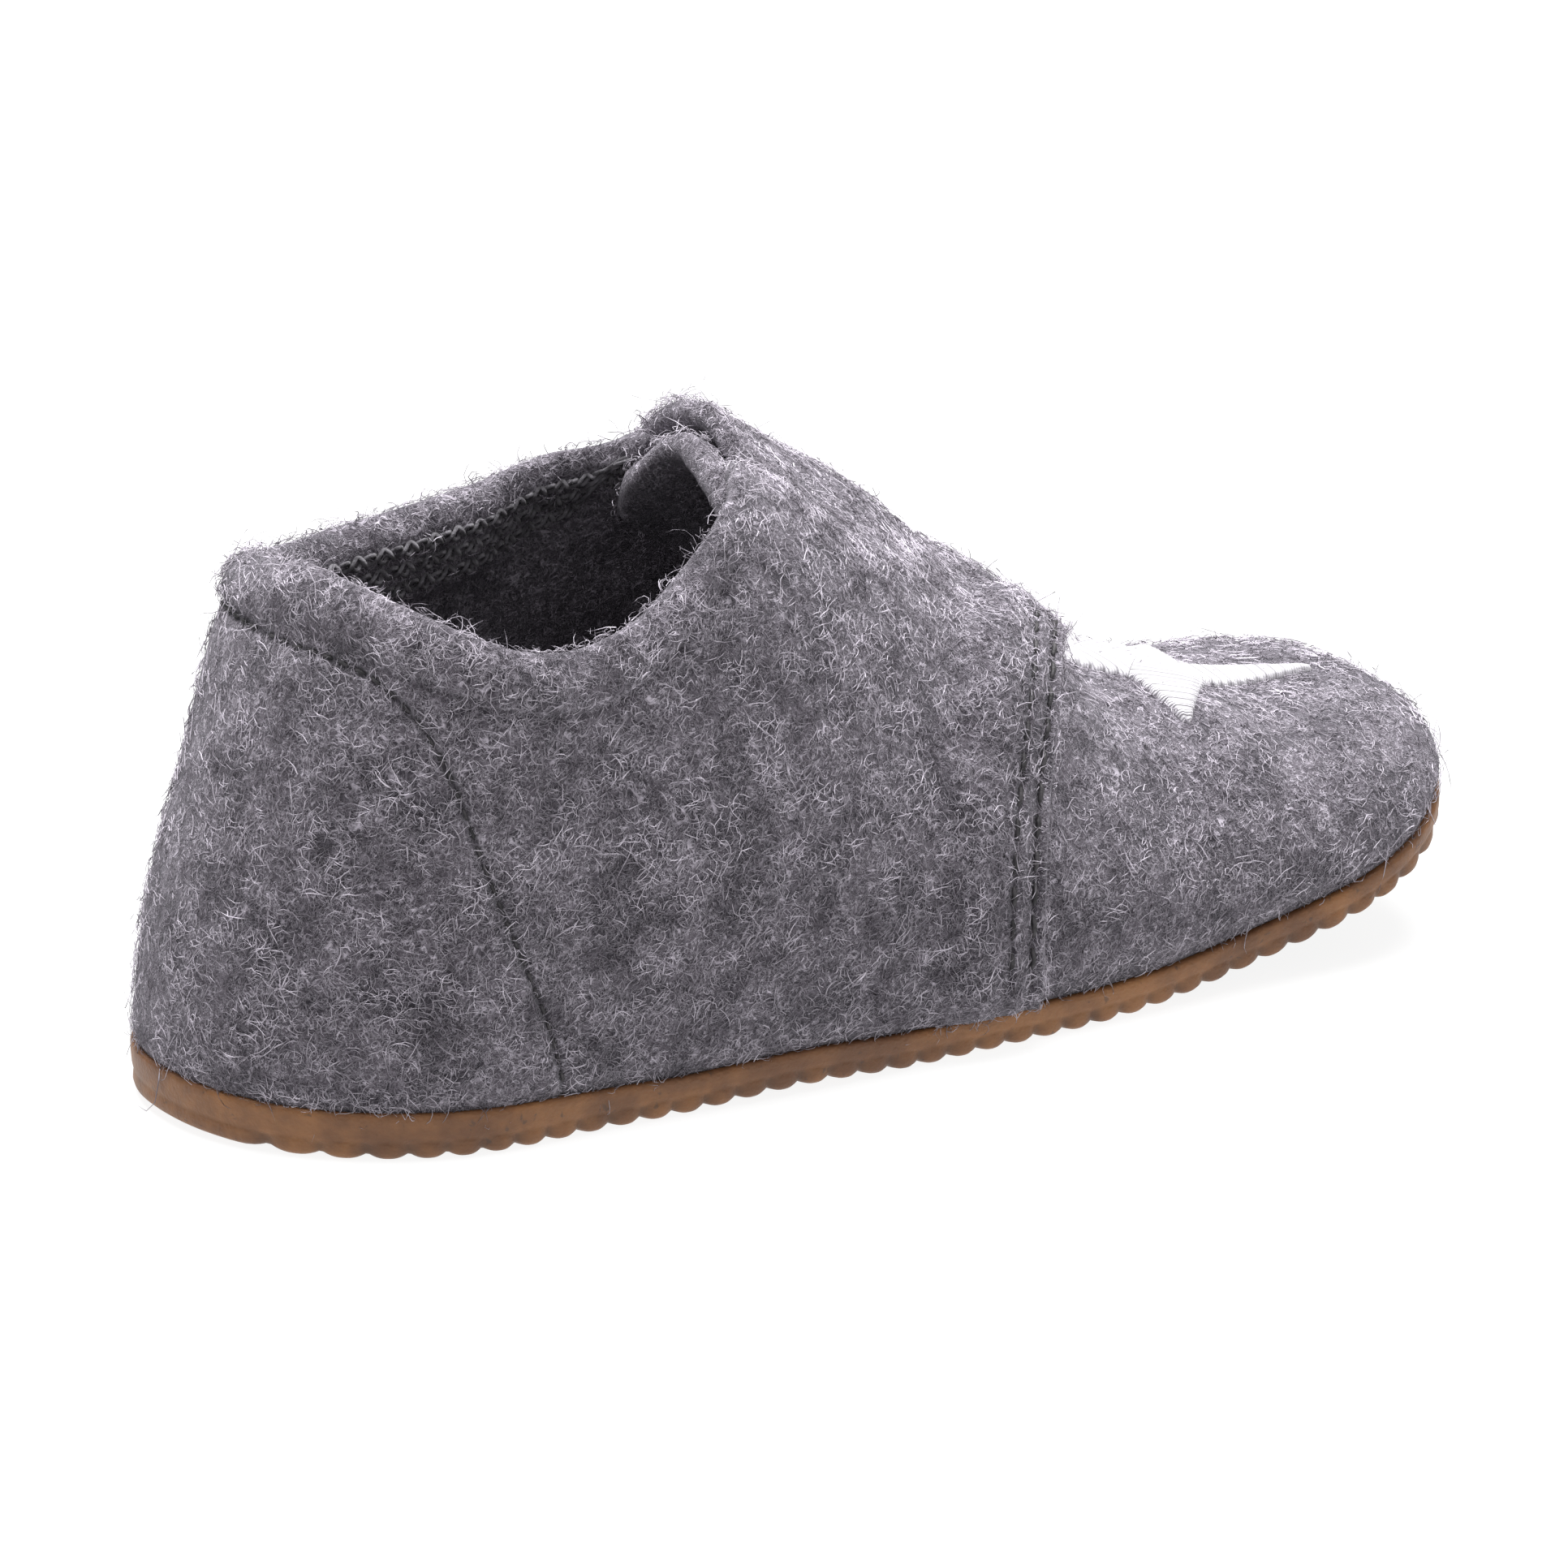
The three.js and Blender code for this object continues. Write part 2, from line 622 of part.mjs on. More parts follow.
// Returns the upper with its counter seam.
function upper() {
  const felt = toManifold(upperGeometry());
  return fromManifold(felt.subtract(toManifold(counterSeamTube())));
}

// Returns the felt's face at a distance from the crest, moved outward by an offset. The distance runs
// down a column of the wall, and is negative on the inner side.
function crossPoint({ share, across }, offset) {
  const angle = columnAngle(share, across);
  const column = measureColumn(angle);
  return offsetPoint(angle, riseAtArc(column, column.total - Math.abs(across)), offset);
}

// Builds a sheet over the instep from a grid of places. offsets gives the inner and the outer offset of
// the sheet's faces at a place.
function instepSheet(grid, offsets) {
  const places = grid.flat();
  const outer = places.map((place) => crossPoint(place, offsets(place).outer));
  const inner = places.map((place) => crossPoint(place, offsets(place).inner));
  const count = grid[0].length;
  const triangles = [];
  for (let row = 0; row < grid.length - 1; row += 1) {
    for (let corner = row * count; corner < (row + 1) * count - 1; corner += 1) {
      triangles.push([corner, corner + count, corner + count + 1]);
      triangles.push([corner, corner + count + 1, corner + 1]);
    }
  }
  return thicken(outer, inner, triangles);
}

// Returns how far the quarter stands out over the vamp's edge at a place beside the slot.
function lapAt({ share, across }) {
  const column = measureColumn(columnAngle(share, across));
  return lapRelief(column, column.total - Math.max(Math.abs(across), slotHalf(column)));
}

// Returns the lower and upper face of the flap: level with the inner quarter at its root, over the
// vamp's edge in front of the slot, and over the outer quarter and the two patches at its end.
function flapOffsets({ share, across }) {
  const overVamp = ramp(share, SLOT_FRONT - FLAP_CLIMB, SLOT_FRONT);
  const root = lapAt({ share, across: -SLOT_INNER }) - FLAP_FELT;
  const inSlot = Math.max(root, THREE.MathUtils.lerp(root, CLEARANCE, overVamp));
  const overPatches = 2 * PATCH_THICKNESS + 3 * CLEARANCE;
  const patched = overPatches * (1 - ramp(share, PATCH_FRONT, FLAP_FRONT_LATERAL));
  const overQuarter = Math.max(patched, lapAt({ share, across: Math.abs(across) }) + 2 * CLEARANCE);
  const inner = THREE.MathUtils.lerp(inSlot, overQuarter, ramp(across, FLAP_ROOT, SLOT_OUTER - HEM_EDGE));
  return { inner, outer: inner + FLAP_FELT };
}

// Returns the two ends of the flap, as shares of the length, at a distance across. The rear line is
// square to the shoe, the front one swings back on the outer side, and both corners are rounded.
function flapEnds(across) {
  const beyond = Math.max(0, (across - FLAP_REACH + FLAP_CORNER) / FLAP_CORNER);
  const corner = FLAP_CORNER * (1 - Math.sqrt(Math.max(0, 1 - beyond ** 2))) / LENGTH;
  const swing = (SEAM - FLAP_FRONT_LATERAL) * ramp(across, -SLOT_INNER / 2, FLAP_REACH);
  return [FLAP_REAR + END_SQUARING * Math.abs(across) + corner, SEAM - swing - corner];
}

// The closure flap, from its root on the inner quarter over the instep to the outer quarter.
function closureFlap() {
  const toCorner = steps(0, FLAP_REACH - FLAP_CORNER, FLAP_COLUMNS);
  const turns = steps(0, Math.PI / 2, CORNER_COLUMNS);
  const corner = turns.map((angle) => FLAP_REACH - FLAP_CORNER * (1 - Math.sin(angle)));
  const crossings = [FLAP_ROOT, ...steps(FLAP_ROOT, 0, CORNER_COLUMNS), ...toCorner, ...corner];
  const rows = [0, ...steps(0, 1, FLAP_ROWS)];
  const grid = rows.map((part) => crossings.map((across) => {
    const [rear, front] = flapEnds(across);
    return { share: THREE.MathUtils.lerp(rear, front, part), across };
  }));
  return instepSheet(grid, flapOffsets);
}

// Returns the tongue's crossings on one side: close together at the slot's edge and its hem.
function tongueSide(slot) {
  return [slot / 2, slot, (slot + TONGUE_HALF) / 2, TONGUE_HALF];
}

// Returns how far the tongue arches up between the slot's edges at a place. The arch runs out before
// the slot's front end.
function tongueArch({ share, across }) {
  const place = THREE.MathUtils.clamp((across + SLOT_INNER) / (SLOT_INNER + SLOT_OUTER), 0, 1);
  return TONGUE_ARCH * Math.sin(Math.PI * place) * (1 - ramp(share, PATCH_FRONT, SLOT_FRONT));
}

// The tongue, under the slot and the edges on both sides of it, its rear end out past the flap. In
// front of that end its rows lie on the upper's own columns.
function tongue() {
  const innerSide = tongueSide(SLOT_INNER).reverse().map((across) => -across);
  const crossings = [...innerSide, 0, ...tongueSide(SLOT_OUTER)];
  const rearEnd = (across) => TONGUE_REAR + END_SQUARING * Math.abs(across);
  const columns = columnShares().filter((share) => share > rearEnd(TONGUE_HALF) && share < TONGUE_FRONT);
  const rearRows = [0, 0.5].map((part) => crossings.map((across) => {
    return { share: THREE.MathUtils.lerp(rearEnd(across), columns[0], part), across };
  }));
  const rows = [...columns, TONGUE_FRONT].map((share) => crossings.map((across) => ({ share, across })));
  return instepSheet([...rearRows, ...rows], (place) => {
    const under = -FELT - CLEARANCE * (3 - ramp(place.share, HEM_GONE, SLOT_FRONT));
    const outer = under + tongueArch(place);
    return { outer, inner: outer - FELT };
  });
}

// One of the two patches between the flap's end and the outer quarter, at its offset over the felt.
function closurePatch(offset) {
  const near = SLOT_OUTER + CLEARANCE;
  const crossings = [near, ...steps(near, FLAP_REACH - PATCH_MARGIN, PATCH_COLUMNS)];
  const shares = [PATCH_REAR, ...steps(PATCH_REAR, PATCH_FRONT, PATCH_ROWS)];
  const grid = shares.map((share) => crossings.map((across) => ({ share, across })));
  return instepSheet(grid, () => ({ inner: offset, outer: offset + PATCH_THICKNESS }));
}

// Returns the layer over the vamp from which the star is cut, a fan round the toe.
function starLayer() {
  const rearAngle = outlineAngle(SEAM + SEAM_STEP / 2 / LENGTH);
  const side = [rearAngle, ...steps(rearAngle, Math.PI, END_COLUMNS)];
  const last = side.length - 1;
  const fan = [...side, ...side.slice(0, last).reverse().map((angle) => -angle)];
  const outer = [];
  const inner = [];
  const ids = fan.map((angle, place) => {
    const column = measureColumn(angle);
    return Array.from({ length: STAR_ROWS + 1 }, (_, row) => {
      if (row === 0 && place > last) {
        return null;
      }
      const depth = Math.min(STAR_REACH, STAR_COVER * column.total) * row / STAR_ROWS;
      const rise = riseAtArc(column, column.total - depth);
      outer.push(offsetPoint(angle, rise, CLEARANCE + STAR_THICKNESS));
      inner.push(offsetPoint(angle, rise, CLEARANCE));
      return outer.length - 1;
    });
  });
  ids.forEach((column, place) => {
    if (column[0] === null) {
      column[0] = ids[fan.length - 1 - place][0];
    }
  });
  const triangles = [];
  for (let place = 0; place < fan.length - 1; place += 1) {
    for (let row = 0; row < STAR_ROWS; row += 1) {
      const [a, b] = [ids[place][row], ids[place + 1][row]];
      const [c, d] = [ids[place + 1][row + 1], ids[place][row + 1]];
      triangles.push([a, b, c]);
      triangles.push([a, c, d]);
    }
  }
  return thicken(outer, inner, triangles.filter(([a, b, c]) => a !== b && b !== c && c !== a));
}

// The star on the toe, a thin pad that follows the vamp.
function starPatch() {
  const corners = STAR.map(({ along, across }) => new THREE.Vector2(along * LENGTH, across * BALL_WIDTH));
  const outline = new THREE.Shape(corners);
  const prism = new THREE.ExtrudeGeometry(outline, { depth: INSTEP_HEIGHT, bevelEnabled: false });
  return fromManifold(toManifold(starLayer()).intersect(toManifold(prism)));
}

// Returns the stations of the tread: each wave has a ridge on the floor and a groove. Under the heel
// and the ball the ridges have flat tops.
function treadStations() {
  const run = LENGTH - 2 * SOLE_END;
  const waves = Math.round(run / TREAD_PITCH);
  const pitch = run / waves;
  const stations = SOLE_END_PLACES.map((x) => ({ x, lift: 0 }));
  for (let wave = 0; wave < waves; wave += 1) {
    const start = SOLE_END + pitch * wave;
    const isFlat = groundHeight(start) < LEVEL && groundHeight(start + pitch) < LEVEL;
    const corners = isFlat ? FLAT_WAVE : LIFTED_WAVE;
    corners.forEach(({ at, lift }) => stations.push({ x: start + at * pitch, lift }));
  }
  stations.push(...SOLE_END_PLACES.slice().reverse().map((x) => ({ x: LENGTH - x, lift: 0 })));
  return stations;
}

// Returns the points of the sole's side at a station, from the floor up: rounded edge, rib ends, a
// step, and the smooth band under the felt.
function soleSide(angle, lift) {
  const { x } = outlinePoint(angle);
  const ground = groundHeight(x);
  const ribTop = SOLE_THICKNESS - SOLE_BAND;
  const rows = [
    [-SOLE_EDGE_ROUNDING - RIB_DEPTH * lift, lift * TREAD_DEPTH],
    [-SOLE_EDGE_ROUNDING / 4 - RIB_DEPTH * lift, SOLE_EDGE_ROUNDING + lift * TREAD_DEPTH / 2],
    [-RIB_DEPTH * lift, ribTop - RIB_DEPTH / 2],
    [0, ribTop],
    [0, SOLE_THICKNESS],
  ];
  return rows.map(([offset, height]) => {
    const plan = outlineOffset(angle, offset);
    return new THREE.Vector3(plan.x, plan.y, ground + height);
  });
}

// The rubber sole: ribs round its side are the ends of the waves across its underside.
function outsole() {
  const stations = treadStations();
  const angles = stations.map(({ x }) => outlineAngle(x / LENGTH));
  const ring = [
    soleSide(0, 0),
    ...stations.map(({ lift }, index) => soleSide(angles[index], lift)),
    soleSide(Math.PI, 0),
    ...stations.map(({ lift }, index) => soleSide(-angles[index], lift)).reverse(),
  ];
  return ringSolid(ring);
}

// Closes a ring of side profiles, bottom to top, by strips across the underside and the top. The
// ring starts at the heel's middle, and its far middle is the toe.
function ringSolid(ring) {
  const rows = ring[0].length;
  const count = ring.length;
  const positions = ring.flatMap((side) => side.flatMap((point) => [point.x, point.y, point.z]));
  const id = (place, row) => (place % count) * rows + row;
  const faces = [];
  for (let place = 0; place < count; place += 1) {
    for (let row = 0; row < rows - 1; row += 1) {
      const [a, b] = [id(place, row), id(place + 1, row)];
      faces.push(a, b, id(place + 1, row + 1), a, id(place + 1, row + 1), id(place, row + 1));
    }
  }
  for (let place = 0; place < count / 2; place += 1) {
    const mirror = (count - place) % count;
    const corners = [id(place, 0), id(place + 1, 0), id(count - place - 1, 0), id(mirror, 0)];
    const lid = corners.map((corner) => corner + rows - 1);
    addStrip(faces, corners.slice().reverse());
    addStrip(faces, lid);
  }
  return closedGeometry(positions, faces);
}

// Adds a four-cornered face as two triangles, or one where two of its corners are the same.
function addStrip(faces, [a, b, c, d]) {
  for (const [first, second, third] of [[a, b, c], [a, c, d]]) {
    if (first !== second && second !== third && third !== first) {
      faces.push(first, second, third);
    }
  }
}

// The insole, inside the upper's wall and level with the sole's top under it.
function insole() {
  const half = steps(0, Math.PI, INSOLE_COLUMNS);
  const angles = [0, ...half, ...half.slice(0, INSOLE_COLUMNS - 1).reverse().map((angle) => -angle)];
  const inset = -FELT - 2 * CLEARANCE;
  const ring = angles.map((angle) => {
    const plan = outlineOffset(angle, inset);
    const bottom = soleTop(plan.x) + CLEARANCE;
    return [bottom, bottom + INSOLE_THICKNESS].map((z) => new THREE.Vector3(plan.x, plan.y, z));
  });
  return ringSolid(ring);
}

// Adds a named piece with its own material.
function addPiece(group, name, geometry, { color, roughness }) {
  geometry.computeVertexNormals();
  const material = new THREE.MeshStandardMaterial({ color, roughness, metalness: 0 });
  const mesh = new THREE.Mesh(geometry, material);
  mesh.name = name;
  group.add(mesh);
}

const shoe = new THREE.Group();
addPiece(shoe, 'outsole', outsole(), FINISHES.rubber);
addPiece(shoe, 'insole', insole(), FINISHES.wool);
addPiece(shoe, 'upper', upper(), FINISHES.felt);
addPiece(shoe, 'tongue', tongue(), FINISHES.felt);
addPiece(shoe, 'closure_flap', closureFlap(), FINISHES.felt);
addPiece(shoe, 'loop_patch', closurePatch(CLEARANCE), FINISHES.loops);
addPiece(shoe, 'hook_patch', closurePatch(2 * CLEARANCE + PATCH_THICKNESS), FINISHES.hooks);
addPiece(shoe, 'star_patch', starPatch(), FINISHES.thread);

// The middle of the shoe's box in plan becomes the origin.
const middle = new THREE.Box3().setFromObject(shoe).getCenter(new THREE.Vector3());
shoe.children.forEach((piece) => piece.geometry.translate(-middle.x, -middle.y, 0));

export default shoe;
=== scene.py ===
# %% [markdown]
# # A baby's felt slipper with a hook-and-loop flap
# The slipper is boiled wool felt on a thin rubber sole. Its main form is one smooth wall round a last.
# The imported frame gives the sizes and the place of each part, and each piece here is a finer surface on
# the same form. Everything is worked out in millimetres, then turned into metres when a mesh is made.
# %% Load the frame
import math

import bpy
import numpy as np
from mathutils import Matrix, Vector


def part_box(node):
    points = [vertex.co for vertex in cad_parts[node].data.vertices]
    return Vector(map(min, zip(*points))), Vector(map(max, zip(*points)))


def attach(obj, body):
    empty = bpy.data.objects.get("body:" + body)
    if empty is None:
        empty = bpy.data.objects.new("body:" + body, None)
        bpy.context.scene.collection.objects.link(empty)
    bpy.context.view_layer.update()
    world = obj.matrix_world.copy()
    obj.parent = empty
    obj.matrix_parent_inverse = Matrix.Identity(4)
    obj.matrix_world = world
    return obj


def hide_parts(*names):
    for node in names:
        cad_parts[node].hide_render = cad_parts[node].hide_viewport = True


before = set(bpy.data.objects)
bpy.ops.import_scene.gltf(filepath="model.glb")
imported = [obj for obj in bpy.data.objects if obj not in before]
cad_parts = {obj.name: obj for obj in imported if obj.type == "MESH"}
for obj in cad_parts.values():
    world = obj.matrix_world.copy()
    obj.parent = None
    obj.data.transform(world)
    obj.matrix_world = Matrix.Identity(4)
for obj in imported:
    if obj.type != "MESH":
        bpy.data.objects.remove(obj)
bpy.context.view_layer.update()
print("frame nodes:", sorted(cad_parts))

# %% [markdown]
# ## The last
# A shoemaker builds a shoe round a last, so the sizes of the last come first. A few named lengths drive
# everything, and a table holds one column of shares for each property along the foot. Reading a table
# with smooth curves gives soft felt without a vertex pushed by hand.
# %% Sizes in millimetres
LENGTH = 145
BALL_WIDTH = 54.5
INSTEP_HEIGHT = 62
HEEL_ROUNDING = 29
TOE_ROUNDING = 32
HEEL_SQUARENESS = 2.2
TOE_SQUARENESS = 2.8
HEEL_LEAN = 16
SOLE_THICKNESS = 3.9
TOE_SPRING = 13
SPRING_START = 90
HEEL_LIFT = 0.5
HEEL_LIFT_LENGTH = 9
ARCH_HEIGHT = 0.6
ARCH_START = 42
ARCH_END = 73
FELT = 2.8
FLAP_FELT = 2.4
CLEARANCE = 0.3

SECTIONS = {
    "at": [0.0, 0.12, 0.25, 0.4, 0.5, 0.592, 0.68, 0.8, 0.9, 1.0],
    "width": [0.815, 0.845, 0.855, 0.9, 0.935, 0.97, 0.994, 0.994, 1.008, 1.02],
    "shift": [0.045, 0.004, -0.006, -0.018, -0.008, 0.008, 0.022, 0.028, -0.008, -0.028],
    "crest_at": [0.284, 0.324, 0.348, 0.462, 0.577, 0.722, 0.771, 0.822, 0.862, 0.925],
    "lean": [0, 0, 0, 0, 0, 0, -0.02, -0.05, -0.07, -0.08],
    "round": [2.5, 2.9, 2.8, 2.8, 2.3, 2.16, 2.29, 2.54, 2.52, 2.43],
    "belly": [0.018, 0.018, 0.028, 0.028, 0.028, 0.028, 0.026, 0.02, 0.006, 0],
    "belly_top": [0.3, 0.34, 0.5, 0.6, 0.6, 0.6, 0.6, 0.6, 0.6, 0.6],
}
CREST = {
    "at": [0, 0.14, 0.25, 0.345, 0.4, 0.44, 0.49, 0.545, 0.6, 0.657, 0.708, 0.738, 0.766, 0.8, 0.842,
           0.89, 0.945, 1],
    "height": [1.475, 1.475, 1.29, 1.126, 1.025, 0.961, 0.886, 0.81, 0.714, 0.614, 0.507, 0.478, 0.466,
               0.446, 0.408, 0.4, 0.403, 0.407],
}
COLLAR = {
    "at": [0, 0.04, 0.085, 0.13, 0.172, 0.215, 0.25, 0.29, 0.33, 0.372, 0.415, 0.46, 0.5],
    "inner": [0.968, 0.949, 0.906, 0.85, 0.804, 0.781, 0.783, 0.814, 0.878, 0.945, 0.99, 1.06, 1.3],
    "outer": [0.968, 0.945, 0.885, 0.824, 0.809, 0.816, 0.827, 0.844, 0.864, 0.896, 0.93, 1.07, 1.3],
}
COUNTER_SEAM = {
    "at": [0, 0.02, 0.05, 0.09, 0.13, 0.165, 0.195, 0.215],
    "height": [0.79, 0.785, 0.755, 0.66, 0.49, 0.34, 0.19, 0.04],
}
print("the sole is", LENGTH, "mm long and", BALL_WIDTH, "mm wide at the ball")

# %% [markdown]
# A table column is read by a cubic through its rows. Each row's slope is the mean of the slopes to its
# two neighbours, which keeps the curve calm. A ramp is the soft step used wherever one form fades into
# another.
# %% Smooth tables and ramps
def smooth(table, name, place):
    """Reads a column of a table at any place, by cubics whose slope at a row is the mean of the slopes
    of the chords on both sides of it."""
    at = np.array(table["at"], float)
    value = np.array(table[name], float)
    chord = np.diff(value) / np.diff(at)
    slope = np.concatenate([chord[:1], (chord[:-1] + chord[1:]) / 2, chord[-1:]])
    place = np.clip(place, at[0], at[-1])
    row = np.clip(np.searchsorted(at, place, side="right") - 1, 0, len(at) - 2)
    step = at[row + 1] - at[row]
    part = (place - at[row]) / step
    start = (2 * part ** 3 - 3 * part ** 2 + 1) * value[row]
    start_slope = (part ** 3 - 2 * part ** 2 + part) * step * slope[row]
    end = (3 * part ** 2 - 2 * part ** 3) * value[row + 1]
    end_slope = (part ** 3 - part ** 2) * step * slope[row + 1]
    return start + start_slope + end + end_slope


def ramp(value, first, second):
    """Runs from 0 at the first place to 1 at the second, level at both ends."""
    share = np.clip((np.asarray(value, float) - first) / (second - first), 0, 1)
    return share * share * (3 - 2 * share)


def mix(first, second, share):
    """Returns a share of the way from the first value to the second."""
    return first + (second - first) * share


crest = smooth(CREST, "height", 0.6) * INSTEP_HEIGHT
print("the crest stands", round(float(crest), 1), "mm high at the flap's front")

# %% [markdown]
# ## The form of the shoe
# A point of the felt has two parameters: an angle round the sole's outline, from 0 at the heel to half a
# turn at the toe, and a rise from 0 at the sole to a quarter turn at the crest. A section between the
# outline and the crest is a superellipse, a curve between an ellipse and a box.
# %% Sole heights and outline
def ground_height(x):
    """Height of the sole's underside: flat, with a low arch, a small heel lift and the toe's spring."""
    toe = np.maximum(0, (x - SPRING_START) / (LENGTH - SPRING_START))
    heel = np.maximum(0, 1 - x / HEEL_LIFT_LENGTH)
    arch = np.clip((x - ARCH_START) / (ARCH_END - ARCH_START), 0, 1)
    return TOE_SPRING * toe ** 2 + HEEL_LIFT * heel ** 2 + ARCH_HEIGHT * np.sin(math.pi * arch) ** 2


def outline_angle(share):
    """Angle round the outline at a share of the sole's length."""
    return np.arccos(np.clip(1 - 2 * np.asarray(share, float), -1, 1))


def share_at(angle):
    """Share of the sole's length at an angle round the outline."""
    return (1 - np.cos(angle)) / 2


def all_round(half):
    """Angles of one side from heel to toe, followed by those of the other side back to the heel."""
    return np.concatenate([half, -half[1:-1][::-1]])


def end_share(distance, rounding, squareness):
    """Share of the width left near a rounded end of the outline."""
    inward = np.clip(1 - distance / rounding, 0, 1)
    return (1 - inward ** squareness) ** (1 / squareness)


def outline(angle):
    """The sole's outline in plan: half the width of the section on each side of its shifted middle."""
    x = LENGTH * share_at(angle)
    place = x / LENGTH
    half = smooth(SECTIONS, "width", place) * BALL_WIDTH / 2
    half = half * end_share(x, HEEL_ROUNDING, HEEL_SQUARENESS)
    half = half * end_share(LENGTH - x, TOE_ROUNDING, TOE_SQUARENESS)
    return x, smooth(SECTIONS, "shift", place) * BALL_WIDTH + np.sign(np.sin(angle)) * half


def outline_offset(angle, distance):
    """The outline moved outward in plan by a distance."""
    nudge = 0.004
    ahead = outline(angle + nudge)
    behind = outline(angle - nudge)
    along = np.stack([ahead[0] - behind[0], ahead[1] - behind[1]])
    along = along / np.linalg.norm(along, axis=0)
    x, y = outline(angle)
    return x - along[1] * distance, y + along[0] * distance


edge_y = outline(-outline_angle(np.linspace(0, 1, 2001)))[1]
sole_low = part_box("outsole")[0]
SHIFT = np.array([sole_low[0] * 1000, sole_low[1] * 1000 - edge_y.min(), 0])
print("from the last's own place to the frame, mm:", SHIFT.round(2))

# %% The wall of the last
def shell(angle, rise):
    """Outer face of the felt. In plan a point slides from the outline to the crest by the cosine of its
    rise, to the superellipse's power, and swells by the belly. Its height follows the sine."""
    angle, rise = np.broadcast_arrays(np.asarray(angle, float), np.asarray(rise, float))
    base_x, base_y = outline(angle)
    place = base_x / LENGTH
    power = 2 / smooth(SECTIONS, "round", place)
    spread = np.clip(np.cos(rise), 0, 1) ** power
    climb = np.clip(np.sin(rise), 0, 1) ** power
    crest_x = smooth(SECTIONS, "crest_at", place) * LENGTH
    crest_y = smooth(SECTIONS, "lean", place) * BALL_WIDTH
    swelling = np.minimum(climb / smooth(SECTIONS, "belly_top", place), 1)
    belly = smooth(SECTIONS, "belly", place) * BALL_WIDTH * np.sin(math.pi * swelling)
    reach = np.hypot(base_x - crest_x, base_y - crest_y)
    scale = spread + belly / reach
    x = crest_x + (base_x - crest_x) * scale
    x = x + HEEL_LEAN * climb * np.maximum(0, np.cos(angle)) ** 2
    y = crest_y + (base_y - crest_y) * scale
    bottom = ground_height(x) + SOLE_THICKNESS + CLEARANCE
    top = smooth(CREST, "height", x / LENGTH) * INSTEP_HEIGHT
    return np.stack([x, y, bottom + (top - bottom) * climb], axis=-1)


def unit(vectors):
    """Vectors made one long."""
    return vectors / np.maximum(np.linalg.norm(vectors, axis=-1, keepdims=True), 1e-9)


def shell_normal(angle, rise):
    """Outward direction of the wall, from small steps round it and up it."""
    nudge = 0.01
    around = shell(angle + nudge, rise) - shell(angle - nudge, rise)
    low = np.maximum(rise - nudge, 0)
    high = np.minimum(rise + nudge, math.pi / 2)
    return unit(np.cross(shell(angle, high) - shell(angle, low), around))


def shell_offset(angle, rise, offset):
    """The wall moved outward by an offset. On the crest both sides share one direction."""
    angle, rise = np.broadcast_arrays(np.asarray(angle, float), np.asarray(rise, float))
    normal = shell_normal(angle, rise)
    beside = np.full(angle.shape, math.pi / 2 - 0.02)
    shared = unit(shell_normal(angle, beside) + shell_normal(-angle, beside))
    on_crest = (rise > math.pi / 2 - 0.001)[..., None]
    normal = np.where(on_crest, shared, normal)
    return shell(angle, rise) + normal * np.asarray(offset, float)[..., None]


print("widest at the ball:", shell(outline_angle(0.75), 0.3).round(1))

# %% [markdown]
# Seams and edges of felt are laid out by length along the cloth. So each column of the wall is measured
# from the sole to the crest, and a length can be turned back into a rise. Whole arrays of columns are
# measured at once.
# %% Lengths up the wall
SAMPLES = 90
SAMPLE_CROWDING = 1.5
SAMPLE_RISES = math.pi / 2 * (np.arange(SAMPLES + 1) / SAMPLES) ** SAMPLE_CROWDING
TINY = 1e-6


def run_along(points):
    """Length along each line of points, from 0 at its start."""
    steps = np.linalg.norm(np.diff(points, axis=-2), axis=-1)
    return np.concatenate([np.zeros(steps.shape[:-1] + (1,)), np.cumsum(steps, axis=-1)], axis=-1)


def measure(angles):
    """Points up each column at fixed rises, and the length along the wall to each of them."""
    points = shell(angles[:, None], SAMPLE_RISES[None, :])
    return points, run_along(points)


def neighbours(values, after):
    """Values of each column at the sample before a place and at the one after it."""
    return [np.take_along_axis(values, sample, axis=1) for sample in (after - 1, after)]


def rises_at(lengths, wanted):
    """Rise at each wanted length of each column: columns by rows."""
    wanted = np.clip(wanted, 0, lengths[:, -1:])
    after = (lengths[:, None, :] < wanted[:, :, None]).sum(axis=2)
    after = np.clip(after, 1, SAMPLES)
    low, high = neighbours(lengths, after)
    return mix(SAMPLE_RISES[after - 1], SAMPLE_RISES[after], (wanted - low) / (high - low))


def length_at_height(points, lengths, heights):
    """Length up each column at which it first reaches a height, given for each sample."""
    gap = points[..., 2] - heights
    reached = gap >= 0
    reached[:, -1] = True
    after = np.clip(reached.argmax(axis=1), 1, SAMPLES)[:, None]
    low_gap, high_gap = neighbours(gap, after)
    share = np.clip(-low_gap / np.maximum(high_gap - low_gap, TINY), 0, 1)
    return mix(*neighbours(lengths, after), share)[:, 0]


SLOT_INNER = 8.5
SLOT_OUTER = 11


def slot_half(angles):
    """Distance from the crest to the throat slot's edge on each column's side."""
    return np.where(np.asarray(angles) < 0, SLOT_INNER, SLOT_OUTER)


def rim_length(angles):
    """Length up each column at which the collar or the slot cuts the wall, and the whole length."""
    points, lengths = measure(angles)
    inner = smooth(COLLAR, "inner", points[..., 0] / LENGTH) * INSTEP_HEIGHT
    outer = smooth(COLLAR, "outer", points[..., 0] / LENGTH) * INSTEP_HEIGHT
    heights = np.where(angles[:, None] < 0, inner, outer)
    collar = length_at_height(points, lengths, heights)
    return np.minimum(collar, lengths[:, -1] - slot_half(angles)), lengths


print("wall height at the heel, mm:", rim_length(np.array([0.0]))[0].round(1))

